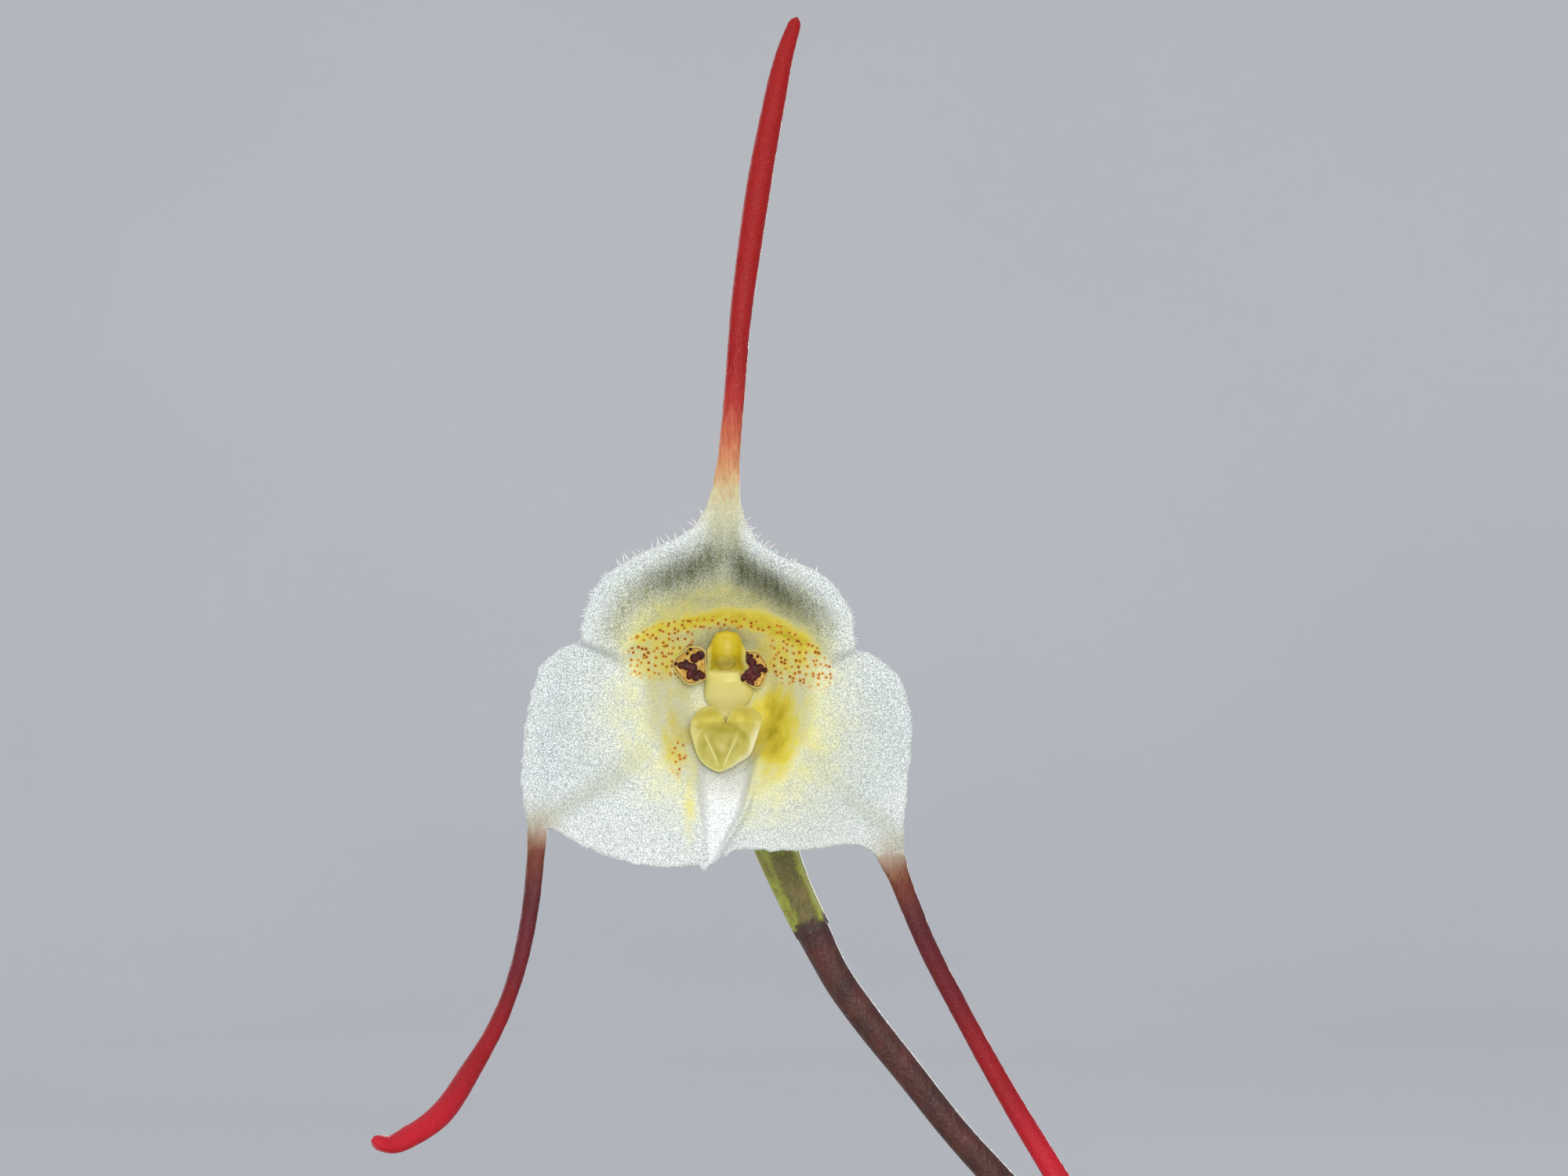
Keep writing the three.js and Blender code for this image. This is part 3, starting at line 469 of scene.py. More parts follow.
# %% [markdown]
# ## The sepals' margin and tails
# The margin is drawn through measured points, clockwise from the upper tail. Each stretch has its own
# corners, and the three shortest are the windows where a tail leaves. A tail grows out of its window:
# the flat edge of the sepal turns into an oval shaft over the first few millimetres, narrows, and
# swells again into a club. Keeping sepals and tails in one mesh leaves no seam at the tail's root.

# %% Margin and tail lines
FINER = 7
SEPAL_RINGS = 60
WINDOW_COLUMNS = 2
# Each stretch as its number of columns and its points after the last one of the stretch before it
SEPAL_MARGINS = [
    (10, [[0.8, 9.2], [1.12, 8.4], [1.76, 7.6], [2.88, 6.8], [3.84, 6.4], [5.24, 5.6], [5.88, 4.8], [6.36, 4],
          [6.55, 3], [6.6, 2]]),
    (12, [[7.4, 1.8], [8.24, 1.2], [8.72, 0.8], [9.12, 0], [9.4, -0.8], [9.52, -2.6], [9.32, -4.8],
          [9.16, -6.4], [9.1, -8.3]]),
    (2, [[7.68, -8.4]]),
    (7, [[7.3, -8.12], [4, -8.14], [0.5, -8.16]]),
    (5, [[0.2, -8.4], [-0.6, -8.8], [-1.12, -9.2], [-1.52, -8.96]]),
    (8, [[-3.68, -9], [-5.68, -8.6], [-7.16, -8], [-8.8, -7.2], [-9.12, -7.08]]),
    (2, [[-10.12, -7]]),
    (12, [[-10.36, -5.6], [-10.4, -4.8], [-10.28, -2.6], [-10.04, -0.8], [-9.7, 0.4], [-9.4, 1.2],
          [-8.8, 1.8], [-8.08, 2.2], [-7.32, 2.35]]),
    (11, [[-7.25, 3.2], [-7.08, 4], [-6.36, 5.6], [-4.56, 6.8], [-2.84, 7.6], [-1.56, 8.4], [-1.04, 9.2],
          [-0.6, 10.3]]),
    (2, [[0.68, 10.3]]),
]
# For each window in turn: the tail's middle line, and its half width at shares of its length
TAILS = {
    "right": ([[8.93, 1.8, -9.7], [10.23, 2.3, -12.9], [12.33, 3.1, -17], [14.61, 3.7, -21.1],
               [17.02, 3.9, -25.1], [19, 3.3, -28.3], [19.62, 2.9, -29.6]],
              [(0, 0.62), (0.05, 0.56), (0.15, 0.51), (0.4, 0.5), (0.65, 0.56), (0.85, 0.63), (0.94, 0.6),
               (1, 0.36)]),
    "left": ([[-9.76, 1.6, -8.9], [-9.91, 1.45, -10.5], [-10.48, 0.5, -13.8], [-11.45, -1.2, -16.7],
              [-12.72, -3, -19], [-14.65, -5.4, -21.6], [-15.64, -6.3, -22.2], [-16.58, -7, -22.6],
              [-17.55, -7.7, -22.35]],
             [(0, 0.54), (0.06, 0.48), (0.2, 0.44), (0.42, 0.41), (0.55, 0.46), (0.68, 0.58), (0.8, 0.65),
              (0.9, 0.62), (1, 0.42)]),
    "dorsal": ([[0.3, 0.15, 13.2], [0.48, 0.1, 15.2], [0.8, 0.15, 19.2], [1.16, 0.35, 22],
                [1.68, 0.8, 25.6], [2.34, 1.6, 29.3], [3.14, 2.6, 33], [3.67, 3.2, 34.6]],
               [(0, 0.62), (0.05, 0.57), (0.15, 0.53), (0.3, 0.53), (0.48, 0.6), (0.62, 0.63), (0.75, 0.59),
                (0.86, 0.53), (0.94, 0.42), (1, 0.3)]),
}
TAIL_RINGS = 110
TAIL_TIP = 0.5


def sepal_rim():
    """The margin's points, and the first and last column of each tail's window."""
    rim, windows = [], []
    corner = SEPAL_MARGINS[-1][1][-1]
    for columns, points in SEPAL_MARGINS:
        first = len(rim)
        rim.extend(smooth_line([corner, *points], columns * FINER + 1)[:-1])
        corner = points[-1]
        if columns == WINDOW_COLUMNS:
            windows.append((first, len(rim)))
    return np.array(rim), windows


RIM, WINDOWS = sepal_rim()
print("margin points:", len(RIM), "round:", round(line_length(RIM), 1), "mm, windows:", WINDOWS)

# %% [markdown]
# Along the margin the cells stand up one by one, which makes it look sugared. The outline is therefore
# crisped by a little seeded noise, which fades out beside the tails. The same random source roughens
# the inner face by a hundredth of a millimetre, enough for each cell to catch the light in its own way.

# %% Build the sepals' two faces
CRISP = 0.03
CELL_RELIEF = 0.006
THICKNESS, MARGIN_THICKNESS, ROOT_THICKNESS = 0.5, 0.2, 0.6
chance = np.random.default_rng(SEED)


def rim_normals(rim):
    along = np.roll(rim, -1, axis=0) - np.roll(rim, 1, axis=0)
    along /= np.linalg.norm(along, axis=1, keepdims=True)
    return np.stack([-along[:, 1], along[:, 0]], axis=-1)


def crisp_rim(rim, windows):
    """The margin with single cells standing out of it, and plain beside the tails."""
    rough = chance.normal(size=len(rim))
    rough = (rough + np.roll(rough, 1) + 0.5 * np.roll(rough, 2)) / 1.5
    calm = np.ones(len(rim))
    for first, last in windows:
        middle, half = (first + last) / 2, (last - first) / 2
        away = np.abs((np.arange(len(rim)) - middle + len(rim) / 2) % len(rim) - len(rim) / 2)
        calm *= smooth(half + 1, half + 12, away)
    return rim + rim_normals(rim) * (CRISP * rough * calm)[:, None], calm


def to_world(x, d, z):
    return np.stack([x, d, z], axis=-1) + BLOOM_CENTRE


rim, calm = crisp_rim(RIM, WINDOWS)
columns = len(rim)
shares = np.linspace(0, 1, SEPAL_RINGS + 1)[1:]
spokes = rim - SPOKE_CENTRE
flat = np.concatenate([[SPOKE_CENTRE], (SPOKE_CENTRE + shares[:, None, None] * spokes).reshape(-1, 2)])
x, z = flat.T
edge = np.concatenate([[9.0], ((1 - shares)[:, None] * np.linalg.norm(spokes, axis=1)).ravel()])
tail_roots = np.array([RIM[[first, last % columns]].mean(axis=0) for first, last in WINDOWS])
root_away = np.linalg.norm(flat[:, None] - tail_roots, axis=2)
reach = -root_away.min(axis=1)
thin = MARGIN_THICKNESS + (THICKNESS - MARGIN_THICKNESS) * smooth(0, 1.3, edge)
thick = np.maximum(thin, ROOT_THICKNESS * fall(0.6, 2.6, -reach)) * steepness(x, z)
ripple = 0.05 * np.sin(1.3 * x + 0.7 * np.sin(1.1 * z)) * np.sin(1.6 * z + 0.5)
front = sepal_depth(x, z) + ripple * smooth(2.5, 5, np.hypot(x, z))
cells = chance.normal(size=len(x)) * CELL_RELIEF * smooth(0, 0.3, edge)
print("points on each face:", len(x), "thickness:", thick.min().round(2), "to", thick.max().round(2))

# %% Join the faces and the margin
face_size = len(x)
points = [to_world(x, front + cells, z), to_world(x, front + thick, z)]
fields = {"reach": [reach] * 2, "edge": [edge] * 2, "lateral": [root_away.argmin(axis=1) < 2] * 2,
          "inner": [np.ones(face_size), np.zeros(face_size)]}


def add_points(place, **values):
    """More points for the sepals' mesh, and what each field is there."""
    points.append(place)
    for name, value in values.items():
        fields[name].append(np.broadcast_to(value, len(place)))


index = 1 + np.arange(SEPAL_RINGS * columns).reshape(SEPAL_RINGS, columns)
fan = np.stack([np.zeros(columns, int), np.roll(index[0], -1), index[0]], axis=-1)
faces = quads(index).tolist() + fan.tolist()
faces += (quads(index)[:, ::-1] + face_size).tolist() + (fan[:, ::-1] + face_size).tolist()

inside = {c % columns for first, last in WINDOWS for c in range(first + 1, last)}
lip_columns = [c for c in range(columns) if c not in inside]
rim_row = index[-1]
outer = RIM + rim_normals(RIM) * 0.05 + (rim - RIM) * 1.3
middle_depth = front[rim_row] + 0.5 * thick[rim_row]
lip_row = rim_row[lip_columns]
add_points(to_world(outer[lip_columns, 0], middle_depth[lip_columns], outer[lip_columns, 1]),
           reach=reach[lip_row], edge=0, lateral=fields["lateral"][0][lip_row], inner=0.5)
lip_index = {c: 2 * face_size + place for place, c in enumerate(lip_columns)}
for c in range(columns):
    d = (c + 1) % columns
    if c in lip_index and d in lip_index:
        faces.append([rim_row[c], rim_row[d], lip_index[d], lip_index[c]])
        faces.append([lip_index[c], lip_index[d], rim_row[d] + face_size, rim_row[c] + face_size])
print("faces of the limb:", len(faces))

# %% Grow each tail out of its window
start = 2 * face_size + len(lip_columns)
share = np.linspace(0, 1, TAIL_RINGS + 1)
for (name, (line, halves)), (first, last) in zip(TAILS.items(), WINDOWS):
    across = [c % columns for c in range(first, last + 1)]
    base = ([lip_index[across[0]]] + [rim_row[c] for c in across] + [lip_index[across[-1]]]
            + [rim_row[c] + face_size for c in across[::-1]])
    loop = np.concatenate(points)[base] - BLOOM_CENTRE
    root = loop.mean(axis=0)
    middle_line = smooth_line([root, *line], TAIL_RINGS + 1)
    length = line_length(middle_line)
    side = loop[len(across) + 1] - loop[0]
    firsts, seconds = carried_sides(middle_line, side / np.linalg.norm(side))
    seconds = seconds * np.sign(seconds[0, 1])
    wide = np.interp(share, *zip(*halves)) * dome((1 - share) * length, TAIL_TIP)
    deep = wide * (0.62 + 0.2 * smooth(0, 0.2, share))
    angle = math.pi + 2 * math.pi * np.arange(len(base)) / len(base)
    shaft = around_line(middle_line, firsts, seconds, wide[:, None] * np.cos(angle),
                        deep[:, None] * np.sin(angle))
    kept = fall(0, 1.6, share * length)[:, None, None]
    rows = (shaft * (1 - kept) + (middle_line[:, None] + loop - root) * kept)[1:].reshape(-1, 3)
    add_points(rows + chance.normal(size=rows.shape) * CELL_RELIEF + BLOOM_CENTRE,
               reach=np.repeat(share[1:] * length, len(base)), edge=1, lateral=name != "dorsal",
               inner=np.tile(0.5 - 0.5 * np.sin(angle), TAIL_RINGS))
    ring = np.concatenate([[base], start + np.arange(TAIL_RINGS * len(base)).reshape(TAIL_RINGS, -1)])
    faces += quads(ring).tolist() + [ring[-1].tolist()]
    start += TAIL_RINGS * len(base)
    print(name, "tail:", round(length, 1), "mm long,", round(2 * wide.max(), 2), "mm wide")

# %% [markdown]
# ## The sepals' colours
# The limb is white, made of glassy cells. Round the cup lie a yellow band like an eyebrow and fields of
# orange dots below it. Painted shade lays two olive shadows and a khaki grey on the hood and grey along the
# creases of the lower sepals, and painted light whitens the cup and the trough under the lip, as if light
# shone through the thin wall. Each of them is a place on the bloom's face, so each becomes a field on the
# mesh, drawn with the easing functions.
# The finish then mixes its colours by these fields and breaks them up with cells and noise.

# %% Fields for the colours
skin = np.concatenate(points)
x, _, z = (skin - BLOOM_CENTRE).T
side = np.abs(x)
fields = {name: np.concatenate(values).astype(float) for name, values in fields.items()}
on_limb = fields["reach"] < 0
on_hood = hood_share(x, z) * on_limb
inner = 0.25 + 0.75 * fields["inner"]
# How far a point lies above the brow's line, which droops to both sides
above = z - 3.6 + np.where(x > 0, 0.08, 0.055) * x**2
brow = hump(above, np.where(above > 0, 0.95, 0.6)) * (0.52 + 0.16 * smooth(-1, 1.5, x)) * fall(3.4, 6.6, side)
above_brow = 0.34 * hump(above, np.where(above > 0, 2.6, 1.2)) * fall(3.6, 7.0, side)
under_dots = 0.46 * hump(oval(side, z, (3.1, 1.8), (2.5, 2.0)))
# The right wall's yellow is its own; its deeper olive-yellow level is painted shade
right_wall = 0.74 * hump(oval(x, z, (2.5, -2.0), (1.5, 2.9)))
left_wall = 0.4 * hump(oval(x, z, (-2.6, -2.7), (1.3, 2.8)))
cup_wash = 0.24 * fall(0.9, 1.45, oval(x, z, *CUP))
limb_wash = (0.26 + 0.06 * smooth(0, 3, x)) * fall(3.0, 8.5, np.hypot(0.9 * x, z + 1.2))
trough_wall = 0.34 * hump(oval(x, z, (-1.8, -5.4), (0.5, 2.6)))
trough = fall(0.75, 1.0, channel(x, z)[1]) * smooth(3.2, 4.2, -z) * fall(8.6, 9.3, -z)
fields["yellow"] = inner * (1 - 0.75 * trough) * np.maximum.reduce(
    [brow, above_brow, under_dots, right_wall, left_wall, cup_wash, limb_wash, trough_wall])
# Painted shade: khaki grey over the hood's roof, above the brow and inside its bright margin
fields["painted_khaki_shade"] = inner * on_hood * np.maximum(
    hump(above - 1.3, 1.1) * fall(3.5, 6.5, side),
    0.85 * smooth(0.3, 2.0, fields["edge"]) * smooth(1.0, 3.0, z) * fall(8.2, 10.2, z))
# Painted shadows: two dark olive arcs where the hood's roof lies in shade
left_arc = 0.85 * hump(z - 6.3 - 0.4 * (x + 1.4)) * smooth(-5.8, -2.4, x) * fall(-0.9, 0.5, x)
right_line = z - 6.2 + 0.58 * (x - 0.9)
right_arc = hump(right_line, np.where(right_line > 0, 0.95, 1.15)) * smooth(-0.6, 0.8, x) * fall(2.4, 6.6, x)
fields["painted_olive_shadow"] = inner * on_hood * np.maximum(left_arc, right_arc)
left_dots = smooth(-5.4, -4.2, x) * fall(-2.0, -1.5, x) * smooth(0.1, 1.6, z)
right_dots = smooth(2.1, 2.7, x) * fall(4.9, 5.8, x) * smooth(-0.4, 0.9, z - 0.12 * (5 - x))
streaks = 0.8 * hump(above + 0.15, 0.3) * fall(3.0, 4.5, side)
low_dots = 0.8 * hump(oval(x, z, (-2.4, -3.4), (0.4, 0.95)))
fields["dots"] = inner * np.maximum.reduce(
    [np.maximum(left_dots, right_dots) * fall(0.1, 0.5, above), streaks, low_dots])
# Painted light: the cup, the trough under the lip and the lower limb are whitened as if light shone through the
# thin wall
in_cup = fall(0.75, 1.3, oval(x, z, *CUP))
fields["painted_glow"] = inner * np.maximum.reduce([trough, in_cup, 0.3 * smooth(3, 7.5, -z)])
# Painted shade: grey along the lower sepals' midrib creases and over the shaded right lower sepal
painted_crease_shade = hump(midrib(x, z) + 0.15, 0.55) * smooth(3.4, 5, side) * (z < 0)
right_shade = 0.9 * hump(oval(x, z, (4.2, -4.2), (2.8, 4.6)))
fields["painted_crease_shade"] = on_limb * np.maximum(painted_crease_shade, inner * right_shade)
sepals = mesh_piece("sepals_with_tails", skin, fields, faces)
print("fields:", sorted(fields))

# %% Finish of the sepals and tails
TAIL_START, TAIL_SPAN = 3.0, 12.0


def spotted(nodes, colour, strength):
    """Orange dots with a paler ring, one to each small cell of the face."""
    place = nodes.millimetres()
    flat = nodes.vector(nodes.axis(place, "X"), nodes.axis(place, "Z"), 0.0)
    away = nodes.add("ShaderNodeTexVoronoi", {"voronoi_dimensions": "2D"},
                     {"Vector": flat, "Scale": 3.1, "Randomness": 0.9})
    away = away + nodes.noise(2.2, 2.0, place=flat) * 0.4 - 0.15
    ring = (1 - away.ease(0.2, 0.5)) * strength.ease(0.05, 0.55)
    core = (1 - away.ease(0.14, 0.33)) * strength.ease(0.12, 0.6)
    orange = nodes.mix(nodes.cloud(1.7, low=0.4, high=0.6, place=flat), (206, 124, 30), (150, 70, 26))
    return nodes.coats(colour, (ring * 0.75, (238, 186, 70)), (core, orange))


def tail_colour(nodes, reach):
    """Cream at the root, then peach and red; the lower tails start brown and end in crimson."""
    fibre = nodes.cloud(1.6, place=nodes.millimetres(4.0, 4.0, 0.7))
    along = (reach + TAIL_START) / (TAIL_START + TAIL_SPAN) + (fibre - 0.5) * 0.06
    upper = along.ramp((0.0, 216, 216, 186), (0.13, 214, 208, 164), (0.2, 218, 190, 142),
                       (0.27, 216, 158, 108), (0.37, 208, 116, 82), (0.5, 182, 46, 38), (0.64, 164, 14, 17),
                       (1.0, 166, 9, 7))
    lower = along.ramp((0.0, 208, 210, 190), (0.12, 194, 184, 142), (0.2, 164, 118, 76), (0.3, 122, 60, 42),
                       (0.45, 92, 32, 36), (0.75, 118, 22, 30), (1.0, 160, 14, 26))
    lower = nodes.mix(reach.ease(13.0, 19.0), lower, (200, 20, 40))
    # Painted highlight: pale pink on the back of each tail, where light from behind catches it
    edge = 1 - nodes.field("inner").ease(0.0, 0.3)
    red = nodes.coats(upper, (nodes.field("lateral"), lower), (edge * 0.5, (206, 128, 128)))
    return nodes.mix(fibre * 0.3, red, nodes.mix(0.5, red, (84, 6, 10)))


@finish("sepal cells")
def sepal_skin(nodes):
    # The grain is partly the cells' own texture and partly painted glints: its white specks stand in for
    # sparkle
    grain = nodes.cloud(14.0, 1.0, 0.5, 0.32, 0.68)
    streaks = nodes.cloud(1.0, high=0.75, place=nodes.millimetres(5.0, 1.0, 0.8))
    reach, painted_olive_shadow = nodes.field("reach"), nodes.field("painted_olive_shadow")
    white = nodes.coats(
        nodes.mix(grain, (164, 173, 172), (240, 244, 243)),
        (nodes.cloud(0.55) * 0.22, (206, 212, 200)),
        # Painted light and shade: white glow in the cup and trough, grey creases, khaki over the hood and olive
        # shadows on it
        (nodes.field("painted_glow") * (0.3 + grain * 0.7), (255, 255, 251)),
        (nodes.field("painted_crease_shade") * 0.4, (176, 180, 150)),
        (nodes.field("painted_khaki_shade") * (0.55 + streaks * 0.35), nodes.mix(grain, (130, 130, 74), (166, 164, 110))),
        (painted_olive_shadow * (0.78 + streaks * 0.22), nodes.mix(grain, (54, 58, 28), (90, 94, 54))))
    yellow = nodes.field("yellow") * (0.7 + nodes.cloud(1.1, low=0.25, high=0.75) * 0.45)
    yellow = yellow * (1 - painted_olive_shadow * 0.85) + (grain - 0.5) * 0.08
    lemon = yellow.ramp((0.0, 244, 244, 214), (0.22, 238, 234, 166), (0.5, 236, 220, 78),
                        (0.75, 202, 184, 40), (1.0, 166, 150, 26))
    lemon = nodes.mix((1 - grain) * 0.3, lemon, nodes.mix(0.5, lemon, (150, 146, 90)))
    white = spotted(nodes, nodes.mix(yellow.ease(0.0, 0.45), white, lemon), nodes.field("dots"))
    tail = nodes.mix((1 - grain) * (1 - reach.ease(-1.0, 2.0)) * 0.4, tail_colour(nodes, reach),
                     (176, 176, 140))
    root = (reach - nodes.field("lateral") * 1.7).ease(-3.6, -0.3)
    return dict(colour=nodes.mix(root, white, tail), roughness=0.3 + grain * 0.25,
                normal=nodes.relief(nodes.cells(11.0) * 0.8 + grain * 0.5, 0.04, 0.7),
                scatter=0.4, radius=(1.0, 0.92, 0.8), depth=0.8 * MM, specular=0.3)


hand_over(sepals, sepal_skin, "sepal", "sepal_cup", "tail_dorsal", "tail_left", "tail_right")

# %% [markdown]
# ## Growing rules
# Hairs, stalks, the pot and the moss all repeat or follow something, and Geometry Nodes grow them: a rule
# has named inputs for its sizes, reads fields of the piece it grows on, and ends by making its copies
# real. `grow` sets the inputs, takes the result as a plain mesh and throws the helper away, so that
# nothing is left to be worked out later.

# %% Rules and how they are run
INPUT_KINDS = {int: "NodeSocketInt", float: "NodeSocketFloat"}


class Rule(Nodes):
    """A node tree of Geometry Nodes with named inputs, each with its starting value."""

    def __init__(self, name, **inputs):
        super().__init__(bpy.data.node_groups.new(name, "GeometryNodeTree"))
        for way in ("INPUT", "OUTPUT"):
            self.tree.interface.new_socket("Geometry", in_out=way, socket_type="NodeSocketGeometry")
        for title, value in inputs.items():
            kind = INPUT_KINDS[type(value)]
            self.tree.interface.new_socket(title, in_out="INPUT", socket_type=kind).default_value = value
        outputs = self.tree.nodes.new("NodeGroupInput").outputs
        self.given = {output.name: Socket(self, output) for output in outputs if output.name}

    def stored(self, name, kind="FLOAT"):
        return self.step("InputNamedAttribute", {"data_type": kind}, Name=name)

    def random(self, low, high):
        """A seeded value between two numbers, or between two vectors."""
        kind, first, output = ("FLOAT_VECTOR", 0, 0) if isinstance(low, tuple) else ("FLOAT", 2, 1)
        inputs = {first: low, first + 1: high, "Seed": self.given["Seed"]}
        return self.add("FunctionNodeRandomValue", {"data_type": kind}, inputs, output)

    def aim(self, way):
        return self.add("FunctionNodeAlignRotationToVector", {"axis": "Z"}, {"Vector": way})

    def close(self, geometry, skin):
        """Makes the copies real, gives them their finish and ends the rule."""
        real = self.step("RealizeInstances", Geometry=geometry)
        even = self.step("SetShadeSmooth", Geometry=real)
        dressed = self.step("SetMaterial", Geometry=even, Material=skin)
        self.add("NodeGroupOutput", None, {"Geometry": dressed})
        return self.tree


def grow(name, source, rule, **sizes):
    """The plain mesh that a rule grows on a source, which is then removed."""
    modifier = source.modifiers.new("rule", "NODES")
    modifier.node_group = rule
    for socket in rule.interface.items_tree:
        if socket.in_out == "INPUT" and socket.name in sizes:
            modifier[socket.identifier] = sizes[socket.name]
    depsgraph = bpy.context.evaluated_depsgraph_get()
    mesh = bpy.data.meshes.new_from_object(source.evaluated_get(depsgraph), depsgraph=depsgraph)
    source.modifiers.remove(modifier)
    bpy.data.objects.remove(source)
    mesh.name = name
    return put(name, mesh)


def line_source(name, line, **columns):
    """A line as a mesh with fields on its points, for a rule to follow."""
    mesh = bpy.data.meshes.new(name)
    mesh.from_pydata((np.asarray(line) * MM).tolist(), [(n, n + 1) for n in range(len(line) - 1)], [])
    for field, values in columns.items():
        kind, key = ("FLOAT_VECTOR", "vector") if np.ndim(values) == 2 else ("FLOAT", "value")
        layer = mesh.attributes.new(field, kind, "POINT")
        layer.data.foreach_set(key, np.asarray(values, np.float32).ravel())
    return put(name, mesh)


# %% [markdown]
# ## Hairs on the margin
# The upper sepal is fringed with glassy hairs up to half a millimetre long or so, and along the lower ones
# they are only stubble. They stand out from the rim, so each point of the margin carries a direction and
# how long a hair may be there. The rule puts a tapered cone on a seeded share of the points.

# %% Hairs along the sepals' margin
HAIR_LENGTH, HAIR_WIDTH, HAIR_SHARE = 0.6, 0.045, 0.5
HAIR_LEAN = ((-0.45, -0.55, -0.45), (0.45, 0.35, 0.45))


@finish("glassy hair")
def hair_skin(nodes):
    return dict(colour=nodes.mix(nodes.cloud(2.0), (214, 220, 214), (248, 250, 250)), roughness=0.3,
                scatter=0.5, depth=0.3 * MM)


def hair_rule(skin):
    rule = Rule("margin hairs", Length=1.0, Width=1.0, Share=0.5, Seed=1)
    way = rule.vectors("ADD", rule.stored("outward", "FLOAT_VECTOR"), rule.random(*HAIR_LEAN))
    length = rule.random(0.35, 1.0) * rule.stored("size")
    chosen = rule.add("FunctionNodeRandomValue", {"data_type": "BOOLEAN"},
                      {"Probability": rule.given["Share"], "Seed": rule.given["Seed"]}, 3)
    cone = rule.step("MeshCone", Vertices=6, Side_Segments=3, Radius_Top=0.0003 * MM,
                     Radius_Bottom=rule.given["Width"], Depth=rule.given["Length"])
    copies = rule.step("InstanceOnPoints", Points=rule.given["Geometry"], Selection=chosen, Instance=cone,
                       Rotation=rule.aim(way), Scale=rule.vector(1.0, 1.0, length))
    return rule.close(copies, skin)


normals = rim_normals(RIM)
on_hood = (RIM[:, 1] > 2.3) & (RIM[:, 1] < 9.2)
hairy = np.where(on_hood, 0.55 + 0.45 * smooth(4.5, 7.5, RIM[:, 1]), 0.25) * (calm > 0.5)
margin = line_source("margin", to_world(rim[:, 0], middle_depth, rim[:, 1]), size=hairy,
                     outward=np.stack([normals[:, 0], 0 * hairy, normals[:, 1]], axis=-1))
hairs = grow("margin_hairs", margin, hair_rule(hair_skin), Length=HAIR_LENGTH * MM, Width=HAIR_WIDTH * MM,
             Share=HAIR_SHARE, Seed=SEED)
hand_over(hairs, hair_skin, "sepal")

# %% [markdown]
# ## Petals
# The two petals are not the white blades. They are tiny cartilage paddles beside the column, each on
# a stout claw, with a dished amber face and swollen maroon warts. A skin over rings runs up the claw,
# over the edge and down to the middle of the face. Each wart is a soft hill on the face, and its field
# is the stain's mask too, so that the colour sits exactly on the swelling.

# %% Petals with their warts
FACE_DEPTH, FOOT_DEPTH = 2.75, 3.9
CLAW_RADIUS, CLAW_FOOT = 0.38, (1.4, 0.8)
WART_HEIGHT = 0.11
# Each petal's outline, and each wart's place and size
PETALS = {
    "left": ([(-1.88, 2.2), (-1.43, 2.18), (-1.07, 2.0), (-1.01, 1.33), (-1.05, 0.53), (-1.43, 0.3),
              (-1.85, 0.22), (-2.4, 0.66), (-2.75, 1.21), (-2.56, 1.65), (-2.22, 1.9)],
             [(-1.32, 1.73, 0.25), (-1.6, 1.59, 0.25), (-2.28, 1.22, 0.2), (-2.0, 1.19, 0.25),
              (-1.72, 1.08, 0.28), (-2.05, 1.42, 0.12), (-1.83, 0.8, 0.2), (-1.55, 0.63, 0.23),
              (-1.21, 0.69, 0.2), (-1.38, 0.8, 0.2), (-2.56, 1.3, 0.1), (-1.8, 2.05, 0.09),
              (-1.97, 1.84, 0.08), (-1.89, 0.62, 0.14)]),
    "right": ([(0.98, 1.95), (1.3, 2.0), (1.63, 1.97), (1.99, 1.57), (2.19, 1.09), (1.98, 0.36), (1.73, 0.04),
               (1.39, 0.08), (1.18, 0.2), (0.74, 0.47), (0.72, 0.97), (0.86, 1.69)],
              [(1.09, 1.53, 0.26), (1.37, 1.36, 0.24), (1.03, 1.76, 0.18), (1.31, 1.7, 0.12),
               (1.48, 1.03, 0.29), (1.76, 1.08, 0.23), (2.02, 0.97, 0.15), (1.2, 0.86, 0.23),
               (0.98, 0.63, 0.19), (0.88, 0.49, 0.12), (1.26, 0.41, 0.19), (1.42, 0.63, 0.24),
               (1.65, 0.75, 0.18), (1.38, 0.28, 0.11), (1.65, 1.68, 0.08)]),
}


